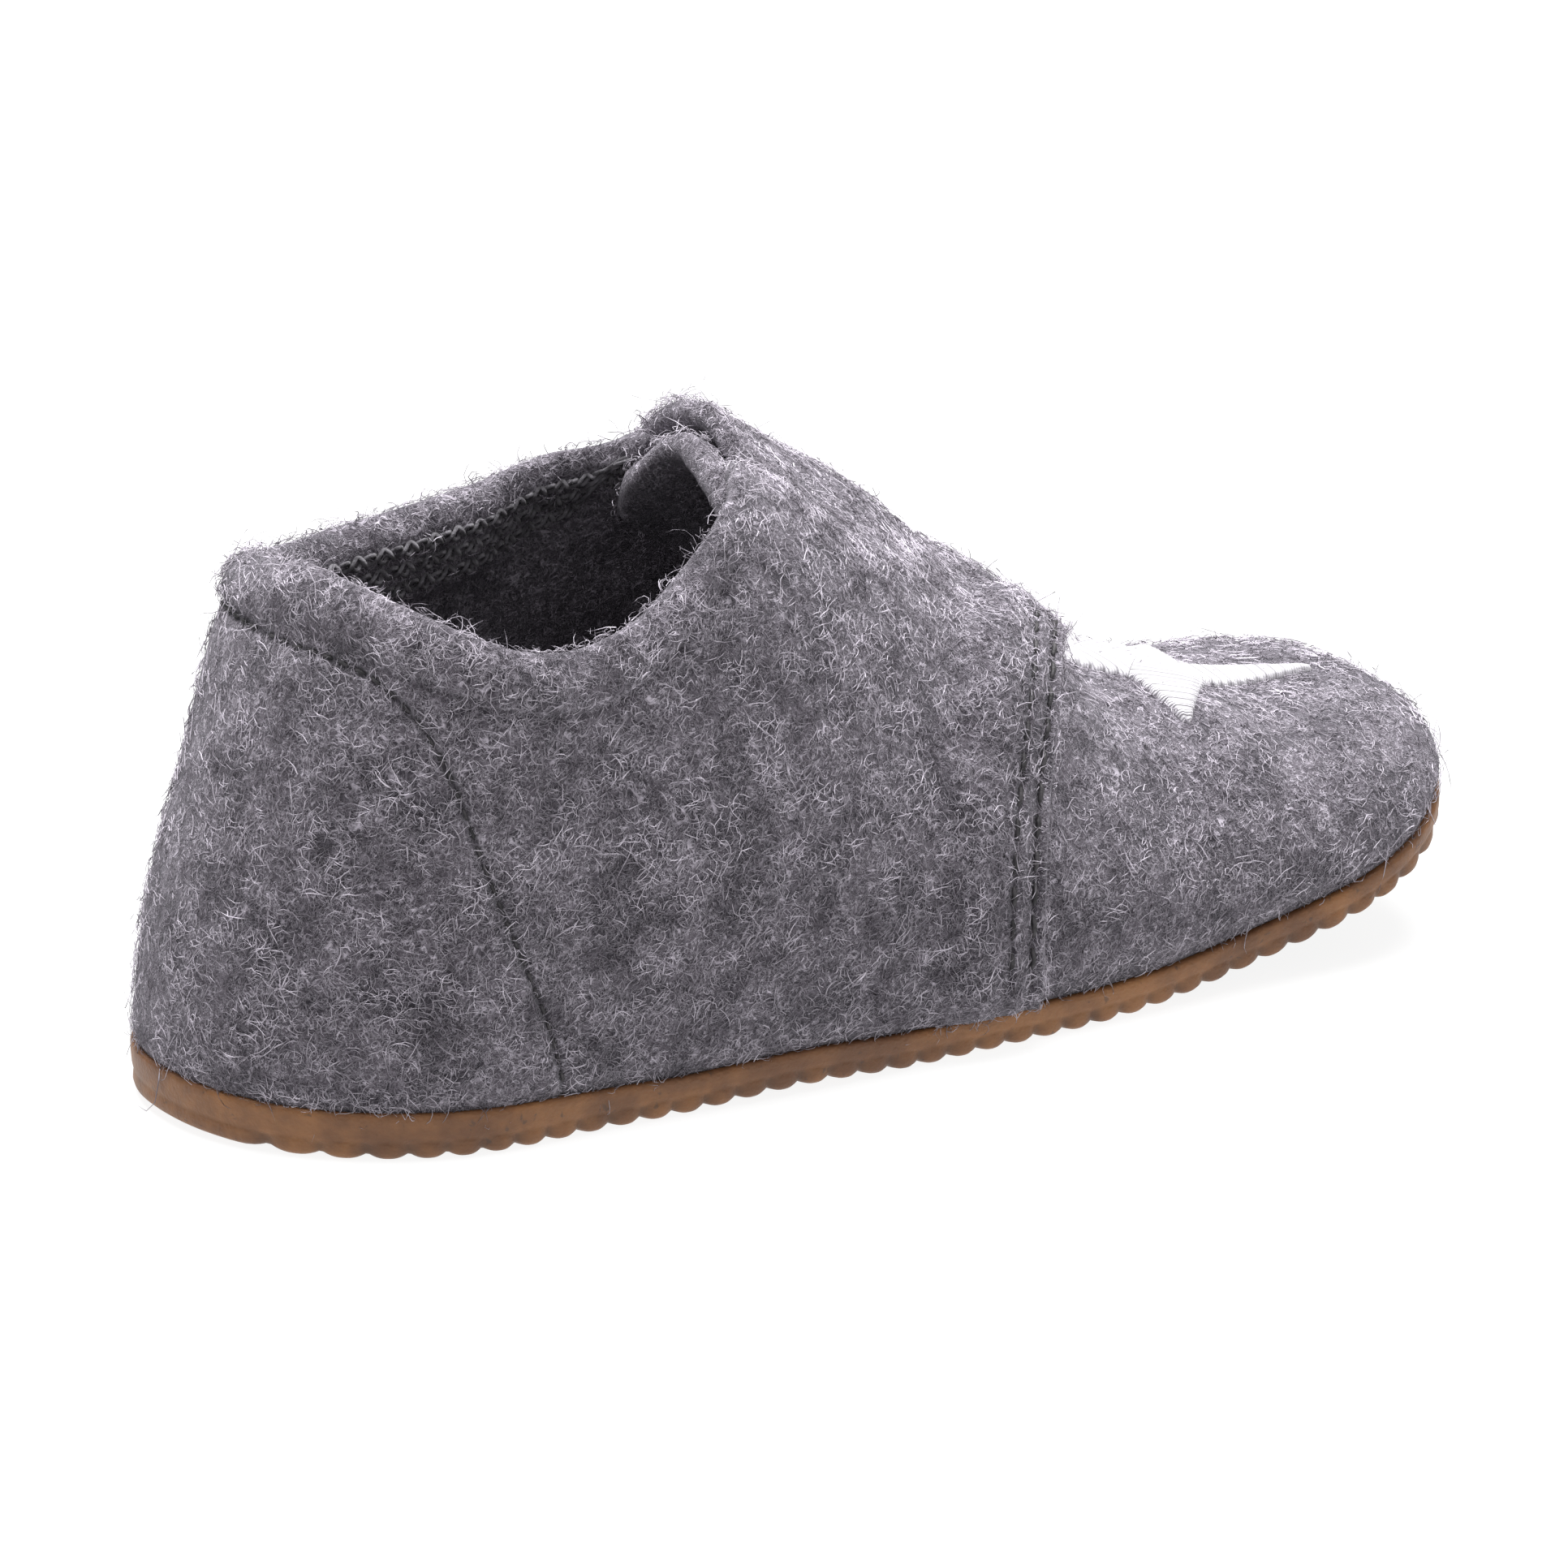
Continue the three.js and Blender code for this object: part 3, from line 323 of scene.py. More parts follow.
# %% [markdown]
# ## What is sewn on the wall
# The collar ends in a folded hem with a groove under it. In front, both quarters lap over the vamp, and
# the cut edge of thick felt makes a round step. Under the flap's end that lap is pressed flat. These
# small heights are added to the wall as it is built, so they follow every curve of it.
# %% Hem, lap and counter seam
THROAT_START = 0.33
HEM_GONE = 0.385
FOLD_END = 0.29
FOLD_GONE = 0.35
SLOT_FRONT = 0.566
SEAM = 0.592
HEM_DEPTH = 4.6
HEM_PROUD = 0.38
HEM_FOLD = 1.3
HEM_FOLD_DEPTH = 8.5
HEM_FOLD_STEP = 0.9
LAP_WIDTH = 7.5
LAP_RAMP = 7
LAP_HEIGHT_LOW = 1.5
LAP_GROWTH = (0.3, 1.0)
LAP_PRESSED = 0.25
LAP_EDGE = 1.3
FLAP_REACH = 23
HEM_SOFTNESS = 1.2
HEM_OVERRUN = 0.4
TROUGH_BELOW = 0.5
TROUGH_DEPTH = 0.2
TROUGH_WIDTH = 0.9
NO_SEAM = -50


def hem_height(angles, distance):
    """How far the hem stands out at a distance under the rim: a soft band with a trough below it."""
    weight = 1 - ramp(np.abs(angles), outline_angle(THROAT_START), outline_angle(HEM_GONE))
    band = HEM_PROUD * (1 - ramp(distance, HEM_DEPTH - HEM_SOFTNESS, HEM_DEPTH + HEM_OVERRUN))
    trough = TROUGH_DEPTH * np.exp(-((distance - HEM_DEPTH - TROUGH_BELOW) / TROUGH_WIDTH) ** 2)
    return weight * (band - trough)


def behind_seam(angles, rises):
    """Distance from a point of the wall forward to the front seam, level with it."""
    seam = np.where(angles < 0, -1, 1) * outline_angle(SEAM)
    return np.linalg.norm(shell(seam, rises) - shell(angles, rises), axis=-1)


def lap_height(angles, rises, from_crest):
    """How far the quarter stands out over the vamp: full at the seam and gone behind the lap."""
    behind = behind_seam(angles, rises)
    height = mix(LAP_HEIGHT_LOW, FELT + CLEARANCE, ramp(rises, *LAP_GROWTH))
    free = np.where(angles < 0, 1, ramp(from_crest, SLOT_OUTER, FLAP_REACH + LAP_RAMP))
    height = height * mix(LAP_PRESSED, 1, free) * (1 - ramp(behind, LAP_WIDTH, LAP_WIDTH + LAP_RAMP))
    return np.where(share_at(angles) > SEAM, 0, height)


def rounded(distance, radius):
    """Share of the height left near an edge that is rounded like a quarter circle."""
    inward = 1 - np.clip(distance / radius, 0, 1)
    return np.sqrt(1 - inward ** 2)


def counter_lengths(angles):
    """Length up each column at which the counter's seam crosses it, and the seam's slope there."""
    share = share_at(angles)
    points, lengths = measure(angles)
    height = smooth(COUNTER_SEAM, "height", share) * INSTEP_HEIGHT
    crossing = length_at_height(points, lengths, height[:, None] + np.zeros_like(lengths))
    slope = np.gradient(crossing) / np.gradient(run_along(points[:, 0]))
    return np.where(share < COUNTER_SEAM["at"][-1], crossing, NO_SEAM), slope


print("the lap stands", FELT + CLEARANCE, "mm out at the top of the seam")

# %% [markdown]
# ## Meshes from grids
# Every felt piece is a sheet with two faces. Its outer and inner points lie on the same grid, the inner
# face is the outer one turned over, and each open edge gets a strip between the two. That makes a closed
# skin that can be any thickness anywhere, which a modifier with one thickness can't do.
# %% Mesh helpers
def grid_triangles(ids):
    """Two triangles for each square of a grid of point numbers."""
    a, b, c, d = ids[:-1, :-1], ids[1:, :-1], ids[1:, 1:], ids[:-1, 1:]
    halves = [np.stack([a, b, c], axis=-1), np.stack([a, c, d], axis=-1)]
    return np.concatenate([half.reshape(-1, 3) for half in halves])


def proper(triangles):
    """Leaves out the triangles that have one corner twice."""
    return triangles[~(triangles == np.roll(triangles, 1, axis=1)).any(axis=1)]


def copies(one, each, count):
    """Triangles of many copies of one shape, which has a given number of points."""
    return (one[None] + (np.arange(count) * each)[:, None, None]).reshape(-1, 3)


def joined(skins):
    """One skin from many: all their points in a row, and their triangles counted on."""
    firsts = np.cumsum([0] + [len(points) for points, _ in skins[:-1]])
    triangles = [faces + first for (_, faces), first in zip(skins, firsts)]
    return np.concatenate([points for points, _ in skins]), np.concatenate(triangles)


def closed_skin(outer, inner, triangles):
    """Joins two faces of a sheet into one closed skin, with a strip along each open edge."""
    triangles = proper(triangles)
    count = len(outer)
    edges = np.concatenate([triangles[:, [0, 1]], triangles[:, [1, 2]], triangles[:, [2, 0]]])
    forward = edges[:, 0] * count + edges[:, 1]
    backward = edges[:, 1] * count + edges[:, 0]
    a, b = edges[~np.isin(forward, backward)].T
    strips = [np.stack([b, a, a + count], axis=1), np.stack([b, a + count, b + count], axis=1)]
    faces = np.concatenate([triangles, triangles[:, ::-1] + count, *strips])
    return np.concatenate([outer, inner]), faces


def outward(points, triangles):
    """Triangles turned so that the closed skin holds a positive volume."""
    a, b, c = (points[triangles[:, corner]] for corner in range(3))
    volume = (a * np.cross(b, c)).sum()
    return triangles if volume > 0 else triangles[:, ::-1]


def add_object(name, data):
    """A new object, linked into the scene."""
    made = bpy.data.objects.new(name, data)
    bpy.context.collection.objects.link(made)
    return made


def make_piece(name, points, triangles, material, slot, **layers):
    """Puts points in millimetres and triangles into a new object, keeps the named values of each point,
    and lets it ride on the shoe."""
    used, places = np.unique(triangles, return_inverse=True)
    points = (points[used] + SHIFT) / 1000
    triangles = outward(points, places.reshape(-1, 3))
    mesh = bpy.data.meshes.new(name)
    mesh.vertices.add(len(points))
    mesh.vertices.foreach_set("co", points.astype(np.float32).ravel())
    mesh.loops.add(triangles.size)
    mesh.loops.foreach_set("vertex_index", triangles.astype(np.int32).ravel())
    mesh.polygons.add(len(triangles))
    mesh.polygons.foreach_set("loop_start", np.arange(0, triangles.size, 3, dtype=np.int32))
    mesh.polygons.foreach_set("use_smooth", np.ones(len(triangles), dtype=bool))
    for layer, values in layers.items():
        attribute = mesh.attributes.new(layer, "FLOAT", "POINT")
        attribute.data.foreach_set("value", values[used].astype(np.float32))
    mesh.update(calc_edges=True)
    mesh.materials.append(material)
    piece = add_object(name, mesh)
    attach(piece, "root")
    print(name, len(triangles), "triangles")
    return piece


# %% [markdown]
# ## Materials
# Felt has no weave. Its look comes from three things: a cloudy mix of dark and light wool, thin bright
# fibres that curl in all directions, and a soft nap that glows at grazing angles. Clouds are noise. A
# curled fibre is the line along which a noise has its middle value, because such lines wander and close
# on themselves. The same lines drive the bump, and sheen gives the nap.
# %% Node helpers
class Finish:
    """A material and short calls that add nodes to it and join them."""

    def __init__(self, name):
        self.material = bpy.data.materials.new(name)
        self.material.use_nodes = True
        self.tree = self.material.node_tree
        self.shader = self.tree.nodes["Principled BSDF"]
        self.place = self.add("TexCoord").outputs["Object"]

    def add(self, kind, settings=None, **inputs):
        """Adds a node, sets its options and its inputs. An input is a value or another node's output."""
        node = self.tree.nodes.new("ShaderNode" + kind)
        for name, value in (settings or {}).items():
            setattr(node, name, value)
        for name, value in inputs.items():
            self.join(value, node.inputs[name.replace("_", " ")])
        return node

    def join(self, value, socket):
        """Sets a socket to a value, or links an output to it."""
        if isinstance(value, bpy.types.NodeSocket):
            self.tree.links.new(value, socket)
        else:
            socket.default_value = value

    def calc(self, operation, *values):
        """A sum, product or other operation on values."""
        node = self.add("Math", {"operation": operation})
        for socket, value in zip(node.inputs, values):
            self.join(value, socket)
        return node.outputs[0]

    def times(self, first, second):
        """The product of two values."""
        return self.calc("MULTIPLY", first, second)

    def weighted(self, *terms):
        """The sum of values, each times its weight."""
        total = 0.0
        for value, weight in terms:
            total = self.calc("MULTIPLY_ADD", value, weight, total)
        return total

    def away(self, value, middle):
        """How far a value is from a middle value, on either side."""
        return self.calc("ABSOLUTE", self.calc("SUBTRACT", value, middle))

    def ripple(self, value, pitch):
        """Humps from 0 to 1, one for each pitch of the value."""
        return self.calc("ABSOLUTE", self.calc("SINE", self.times(value, math.pi / pitch)))

    def noise(self, scale, detail=2.0, roughness=0.5, distortion=0.0):
        """Noise on the object's own place, from 0 to 1."""
        node = self.add("TexNoise", None, Vector=self.place, Scale=scale, Detail=detail,
                        Roughness=roughness, Distortion=distortion)
        return node.outputs["Fac"]

    def soft(self, value, start, end, low=0.0, high=1.0):
        """A smooth step: low below start, high above end."""
        node = self.add("MapRange", {"interpolation_type": "SMOOTHSTEP"})
        for socket, amount in zip(node.inputs, (value, start, end, low, high)):
            self.join(amount, socket)
        return node.outputs["Result"]

    def blend(self, first, second, share):
        """A colour between two colours."""
        node = self.add("Mix", {"data_type": "RGBA"})
        self.join(share, node.inputs[0])
        self.join(first, node.inputs[6])
        self.join(second, node.inputs[7])
        return node.outputs[2]

    def layer(self, name):
        """A value kept at each point of the mesh."""
        return self.add("Attribute", {"attribute_name": name}).outputs["Fac"]

    def bump(self, height, depth, strength=1.0):
        """Bump of a depth in metres."""
        node = self.add("Bump", None, Height=height, Distance=depth, Strength=strength)
        return node.outputs["Normal"]

    def surface(self, **inputs):
        """Sets or joins inputs of the shader, and gives the finished material."""
        for name, value in inputs.items():
            self.join(value, self.shader.inputs[name.replace("_", " ")])
        return self.material


# %% Felt
FELT_DARK = (0.021, 0.017, 0.024, 1)
FELT_LIGHT = (0.105, 0.091, 0.11, 1)
FELT_FIBRE_AND_HIGHLIGHT = (0.6, 0.55, 0.63, 1)
FELT_SHEEN = (0.8, 0.78, 0.85, 1)
# place and half width in mm of the painted highlight along the lapped edges
EDGE_HIGHLIGHT_WIDTH = 0.6
# noise scale per metre and half width of a fibre's line in the noise's values
FIBRE_LAYERS = [(310, 0.022), (470, 0.031), (700, 0.042), (1050, 0.055)]


def fibres(finish, scale, width):
    """Thin wandering lines where a noise crosses its middle value, some stretches brighter."""
    wave = finish.noise(scale, detail=1.2, distortion=1.9)
    line = finish.soft(finish.away(wave, 0.5), 0.0, width, 1.0, 0.0)
    stretches = finish.soft(finish.noise(scale * 0.9, detail=1.0), 0.38, 0.62, 0.2, 1.0)
    return finish.times(line, stretches)


def felt_finish(name, with_seams):
    """Boiled wool. Where with_seams is set, it also presses the seams' troughs into the felt with painted
    shade in them, and paints a highlight along the lapped edges.
    """
    finish = Finish(name)
    clouds = finish.noise(150, detail=2.0)
    mottle = finish.noise(620, detail=4.0, roughness=0.72, distortion=1.1)
    fine = finish.noise(2100, detail=3.0, roughness=0.7, distortion=0.8)
    tone = finish.weighted((clouds, 0.3), (mottle, 0.5), (fine, 0.2))
    wool = finish.blend(FELT_DARK, FELT_LIGHT, finish.soft(tone, 0.41, 0.59))
    curls = 0.0
    for scale, width in FIBRE_LAYERS:
        curls = finish.calc("MAXIMUM", fibres(finish, scale, width), curls)
    shown = finish.times(curls, finish.soft(clouds, 0.34, 0.6, 0.5, 0.95))
    wool = finish.blend(wool, FELT_FIBRE_AND_HIGHLIGHT, shown)
    height = finish.weighted((mottle, 0.7), (curls, 0.45), (fine, 0.35))
    if with_seams:
        # Each seam's trough is pressed into the bump and darkened by painted shade along its middle.
        for layer, at, width, depth, shade in SEAM_TROUGHS:
            trough = finish.soft(finish.away(finish.layer(layer), at), 0.0, width, 1.0, 0.0)
            height = finish.calc("SUBTRACT", height, finish.times(trough, depth))
            wool = finish.blend(wool, FELT_DARK, finish.times(trough, shade))
        # Painted highlight: a light band just behind the lapped edges, where light catches the raised felt.
        from_edge_highlight = finish.away(finish.layer("edge"), EDGE_HIGHLIGHT_WIDTH)
        wool = finish.blend(wool, FELT_FIBRE_AND_HIGHLIGHT, finish.soft(from_edge_highlight, 0.0, EDGE_HIGHLIGHT_WIDTH, 0.35, 0.0))
    return finish.surface(
        Base_Color=wool, Normal=finish.bump(height, 0.0006, 0.85), Roughness=0.95,
        Specular_IOR_Level=0.15, Sheen_Weight=0.35, Sheen_Roughness=0.6, Sheen_Tint=FELT_SHEEN,
    )


SEAM_TROUGHS = [
    # value, where it lies, half width in mm, depth, share of painted shade in the trough
    ("counter", 0.0, 0.55, 1.3, 0.75),
    ("edge", -0.1, 0.4, 0.9, 0.7),
    ("edge", 2.3, 0.5, 0.8, 0.6),
    ("edge", 5.0, 0.5, 0.8, 0.6),
    ("rim", 5.1, 0.8, 0.4, 0.3),
]
felt = felt_finish("felt", True)
felt_plain = felt_finish("felt_plain", False)
print("felt has", len(felt.node_tree.nodes), "nodes")

# %% Fibre, yarn, thread, rubber, wool and tape
def plain_finish(name, dark, light, scale, roughness, bump_scale, bump_depth, sheen):
    """A finish whose colour runs between two tones by noise, with a fine bump."""
    finish = Finish(name)
    tone = finish.soft(finish.noise(scale, detail=3.0, roughness=0.6), 0.35, 0.65)
    height = finish.noise(bump_scale, detail=3.0, roughness=0.6)
    return finish.surface(
        Base_Color=finish.blend((*dark, 1), (*light, 1), tone), Normal=finish.bump(height, bump_depth),
        Roughness=roughness, Sheen_Weight=sheen,
    )


PLAIN = {
    # name: dark tone, light tone, scale of the tones, roughness, scale and depth of the bump, sheen
    "wool_fibre": ((0.2, 0.18, 0.21), (0.72, 0.67, 0.75), 260, 0.8, 3000, 0.00005, 0),
    "hem_yarn": ((0.06, 0.055, 0.064), (0.2, 0.19, 0.21), 700, 0.9, 2500, 0.0002, 0.3),
    "stitch_thread": ((0.008, 0.007, 0.009), (0.05, 0.045, 0.05), 900, 0.6, 4000, 0.0001, 0),
    "insole_wool": ((0.12, 0.11, 0.115), (0.3, 0.28, 0.29), 800, 0.95, 1500, 0.0006, 0.4),
    "loop_tape": ((0.03, 0.03, 0.033), (0.09, 0.09, 0.1), 1800, 0.9, 2600, 0.0005, 0.3),
    "hook_tape": ((0.025, 0.025, 0.028), (0.06, 0.06, 0.066), 1500, 0.5, 1500, 0.0004, 0),
}
plain = {name: plain_finish(name, *row) for name, row in PLAIN.items()}


def rubber_finish():
    """Natural rubber: honey-brown with darker clouds and specks and painted shade in the tread's gaps, half
    matt, under a thin clear coat.
    """
    finish = Finish("sole_rubber")
    clouds = finish.soft(finish.noise(90, detail=4.0, roughness=0.65), 0.35, 0.68)
    colour = finish.blend((0.13, 0.05, 0.015, 1), (0.27, 0.115, 0.034, 1), clouds)
    # painted shade in the gaps between the tread's lobes, by how deep each point lies between them
    colour = finish.blend(colour, (0.06, 0.026, 0.01, 1), finish.times(finish.layer("groove"), 0.65))
    specks = finish.soft(finish.noise(900, detail=2.0, distortion=0.5), 0.66, 0.74)
    colour = finish.blend(colour, (0.055, 0.03, 0.018, 1), finish.times(specks, 0.6))
    grain = finish.calc("ADD", finish.noise(500, detail=4.0), finish.noise(2600, detail=2.0))
    return finish.surface(
        Base_Color=colour, Normal=finish.bump(grain, 0.00012), Roughness=0.52, Subsurface_Weight=0.08,
        Subsurface_Scale=0.002, Coat_Weight=0.12, Coat_Roughness=0.35,
    )


THREAD = 0.3
BUNCH = 1.15


def satin_finish():
    """White embroidery: fine parallel threads, pressed down between them, with painted shade in the hollows
    between them and a silky gloss.
    """
    finish = Finish("star_thread")
    along = finish.layer("thread")
    ridge = finish.weighted((finish.ripple(along, BUNCH), 0.65), (finish.ripple(along, THREAD), 0.35))
    height = finish.weighted((ridge, 1.0), (finish.noise(700, detail=2.0), 0.5))
    # Painted shade: the colour follows the ridges, darker in the hollows between the threads.
    return finish.surface(
        Base_Color=finish.blend((0.36, 0.345, 0.37, 1), (0.66, 0.64, 0.68, 1), ridge),
        Normal=finish.bump(height, 0.0003), Roughness=0.45, Sheen_Weight=0.3,
    )


rubber = rubber_finish()
satin = satin_finish()
print("materials:", len(bpy.data.materials))

# %% [markdown]
# ## The upper
# The upper is one wall from the heel round both sides, closed over the toe. Columns stand all round the
# outline, dense at the front seam, and rows run from the sole up to the rim. Up to the slot's front end a
# column stops at the rim, where both faces meet in a rounded lip. In front of it the columns of both
# sides meet on the crest.
# %% Columns and rows of the upper
HEEL_COLUMNS = 96
THROAT_COLUMNS = 52
LAP_COLUMNS = 18
TOE_COLUMNS = 74
WALL_ROWS = 42
BAND_ROWS = 15
LIP_ROWS = 9
BAND = 9
LIP_DEPTH = 2
LIP_RISE = 0.7


def column_shares():
    """Places of the columns of one side, heel to toe."""
    heel = np.linspace(0, outline_angle(THROAT_START), HEEL_COLUMNS)
    throat = np.linspace(THROAT_START, SLOT_FRONT, THROAT_COLUMNS)[1:]
    lap = SEAM - (SEAM - SLOT_FRONT) * (1 - np.sin(np.linspace(0, math.pi / 2, LAP_COLUMNS)[1:]))
    front = SEAM + np.array([0.0006, 0.0016, 0.004])
    toe = np.linspace(outline_angle(front[-1]), math.pi, TOE_COLUMNS)[1:]
    return np.concatenate([share_at(heel), throat, lap, front, share_at(toe)])


def upper_rows(rim, top, is_open):
    """Lengths up each column: even rows, closer rows in the band under the rim, then the lip's rows.
    A closed column has its last rows between the slot's line and the crest."""
    wall = np.linspace(0, 1, WALL_ROWS)[None, :] * (rim - BAND)[:, None]
    band = rim[:, None] - BAND + np.linspace(0, 1, BAND_ROWS + 1)[None, 1:] * (BAND - LIP_DEPTH)
    turn = np.linspace(0, math.pi / 2, LIP_ROWS + 1)[None, 1:]
    lip = rim[:, None] - LIP_DEPTH + (LIP_DEPTH + LIP_RISE) * np.sin(turn)
    last = band[:, -1:]
    over = last + (top[:, None] - last) * np.linspace(0, 1, LIP_ROWS + 1)[None, 1:]
    return np.concatenate([wall, band, np.where(is_open[:, None], lip, over)], axis=1)


shares = column_shares()
ring = all_round(outline_angle(shares))
ring_share = share_at(ring)
rim, lengths = rim_length(ring)
is_open = ring_share <= SLOT_FRONT + 1e-6
rim = np.where(is_open, rim, lengths[:, -1] - slot_half(ring))
arcs = upper_rows(rim, lengths[:, -1], is_open)
rises = rises_at(lengths, arcs)
print("upper grid:", rises.shape)

# %% [markdown]
# The flap is cut in one with the inner quarter. Here it is a piece of its own that runs down over the
# quarter's edge. The quarter sinks a little under it and the flap's root dives below the quarter, so the
# two cross at almost no angle and the join can't be seen.
# %% The upper's surface
FLAP_REAR = 0.372
END_SQUARING = 0.0025
GROOVE_DEPTH = 0.35
GROOVE_WIDTH = 0.75
TUCK_DEPTH = 0.7
TUCK_LENGTH = 2.2
PUFF_HEIGHT = 0.25
PUFF_RATE = 1.9
PUFF_START = (0.3, 1.2)
PUFF_END = (5.5, 8)
SINK_DEPTH = 0.7
SINK_ACROSS = (9.5, 13)
SINK_ALONG = (0.395, 0.42)
SOLE_GAP = 0.05
FAR = 90.0


def flap_rear(across):
    """The flap's rear line as a share of the length, square to the shoe."""
    return FLAP_REAR + END_SQUARING * np.abs(across)


angles = ring[:, None] + np.zeros_like(arcs)
from_crest = lengths[:, -1:] - arcs
from_rim = rim[:, None] - arcs
open_grid = is_open[:, None]
lap = lap_height(angles, rises, from_crest)
edge = np.where(ring_share[:, None] > SEAM, -1, 1) * behind_seam(angles, rises)
lap = lap * rounded(edge, LAP_EDGE)
hem = np.where(open_grid, hem_height(angles, from_rim), 0)
crossing, slope = counter_lengths(ring)
counter = (arcs - crossing[:, None]) / np.sqrt(1 + slope ** 2)[:, None]
groove = GROOVE_DEPTH * np.exp(-(counter / GROOVE_WIDTH) ** 2)
tuck = TUCK_DEPTH * (1 - ramp(arcs, 0, TUCK_LENGTH))
puff = PUFF_HEIGHT * np.sin(edge * PUFF_RATE) * ramp(edge, *PUFF_START) * (1 - ramp(edge, *PUFF_END))
under_flap = (angles < 0) & (ring_share[:, None] < SEAM)
sunk = np.where(under_flap, SINK_DEPTH * (1 - ramp(from_crest, *SINK_ACROSS)), 0)
sunk = sunk * ramp(ring_share[:, None], *SINK_ALONG)
outer_offset = lap + hem - groove - tuck + puff - sunk
fold_weight = 1 - ramp(np.abs(angles), outline_angle(FOLD_END), outline_angle(FOLD_GONE))
fold = HEM_FOLD * fold_weight * (1 - ramp(from_rim, HEM_FOLD_DEPTH, HEM_FOLD_DEPTH + HEM_FOLD_STEP))
inner_offset = -FELT - np.where(open_grid, fold, 0) + 0 * arcs
over_lip = (LIP_DEPTH - from_rim) / (LIP_DEPTH + LIP_RISE)
roundness = np.where(open_grid, np.sqrt(np.clip(1 - over_lip ** 2, 0, 1)), 1)
roundness = np.where(from_rim > LIP_DEPTH, 1, roundness)
middle = (outer_offset + inner_offset) / 2
half = (outer_offset - inner_offset) / 2 * np.maximum(roundness, 0.02)
outer = shell_offset(angles, rises, middle + half)
inner = shell_offset(angles, rises, middle - half)
lip_up = np.where(open_grid, np.maximum(0, -from_rim), 0) * 0.6
for face in (outer, inner):
    face[..., 2] += lip_up
    face[:, 0, 2] = ground_height(face[:, 0, 0]) + SOLE_THICKNESS + SOLE_GAP

ids = np.arange(arcs.size).reshape(arcs.shape)
mirror = (len(ring) - np.arange(len(ring))) % len(ring)
welded = ~is_open & (np.arange(len(ring)) >= len(shares))
ids[welded, -1] = ids[mirror[welded], -1]
ids = np.concatenate([ids, ids[:1]])
upper_outer = outer.reshape(-1, 3)
upper_triangles = grid_triangles(ids)
points, triangles = closed_skin(upper_outer, inner.reshape(-1, 3), upper_triangles)
far = np.full(arcs.size, FAR)
upper = make_piece(
    "upper_felt", points, triangles, felt, "felt",
    counter=np.concatenate([counter.ravel(), far]),
    edge=np.concatenate([edge.ravel(), far]),
    rim=np.concatenate([np.where(open_grid & (hem != 0), from_rim, FAR).ravel(), far]),
)
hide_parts("upper")

# %% [markdown]
# ## Flap and tongue
# Both are sheets over the instep, laid out by place along the shoe and distance across the crest. The
# flap's thickness goes to nothing over little more than the last millimetre of its free edges, in a
# quarter circle, as the rounded cut edge of thick felt does.
# %% Sheets over the instep
FLAP_CORNER = 7
FLAP_FRONT_LATERAL = 0.555
FLAP_ROOT = -15.5
PATCH_THICKNESS = 0.5
PATCH_FRONT = 0.5
TONGUE_REAR = 0.352
TONGUE_FRONT = 0.582
TONGUE_HALF = 17
TONGUE_LATERAL = 20
DIVE_DEPTH = 0.9
DIVE_START = 12.6
DIVE_LENGTH = 2.9
THINNEST = 0.03


def instep_columns(share, across):
    """Angle of the column under each place of a sheet, and the lengths up it."""
    columns = (np.where(across < 0, -1, 1) * outline_angle(share)).ravel()
    return columns, measure(columns)[1]


def over_instep(share, across, offset):
    """A point at a distance across from the crest, measured down its own column."""
    columns, lengths = instep_columns(share, across)
    rise = rises_at(lengths, lengths[:, -1:] - np.abs(across).reshape(-1, 1))[:, 0]
    return shell_offset(columns, rise, np.asarray(offset).ravel())


def lap_at(share, across):
    """Height of the lapped quarter beside the slot, at each place of a sheet."""
    columns, lengths = instep_columns(share, across)
    away = np.maximum(np.abs(across).ravel(), slot_half(columns))
    rise = rises_at(lengths, lengths[:, -1:] - away[:, None])[:, 0]
    return lap_height(columns, rise, away).reshape(share.shape)


def felt_sheet(share, across, low, high, thin):
    """Outer face, inner face and triangles of a sheet between two heights over the wall, whose
    thickness is lessened towards its edges."""
    middle = (low + high) / 2
    half = (high - low) / 2 * np.maximum(thin, THINNEST)
    triangles = grid_triangles(np.arange(share.size).reshape(share.shape))
    faces = [over_instep(share, across, middle + side * half) for side in (1, -1)]
    return faces[0], faces[1], triangles


def flap_faces(share, across):
    """Heights of the flap's underside and top over the felt: level with the inner quarter at its root,
    over the vamp's edge in front, and over the patches on the outer quarter at its end."""
    slot_edge = np.full_like(across, -SLOT_INNER)
    root = lap_at(share, slot_edge) - FLAP_FELT
    over_vamp = ramp(share, SLOT_FRONT - 0.02, SLOT_FRONT)
    in_slot = np.maximum(root, mix(root, CLEARANCE, over_vamp))
    patched = (2 * PATCH_THICKNESS + 3 * CLEARANCE) * (1 - ramp(share, PATCH_FRONT, FLAP_FRONT_LATERAL))
    over_quarter = np.maximum(patched, lap_at(share, np.abs(across)) + 2 * CLEARANCE)
    under = mix(in_slot, over_quarter, ramp(across, -8, SLOT_OUTER - 0.5))
    beside = lap_at(share, np.minimum(across, -SLOT_INNER)) - FLAP_FELT
    under = np.where(across < -SLOT_INNER, beside, under)
    dive = DIVE_DEPTH * np.clip((-DIVE_START - across) / DIVE_LENGTH, 0, 1) ** 2
    return under - dive, under + FLAP_FELT - dive


def edge_steps(length, radius, count):
    """Distances across a sheet, closer together inside the rounding at both of its ends."""
    turn = radius * (1 - np.cos(np.linspace(0, math.pi / 2, 7)))
    return np.concatenate([turn, np.linspace(radius, length - radius, count)[1:-1], length - turn[::-1]])


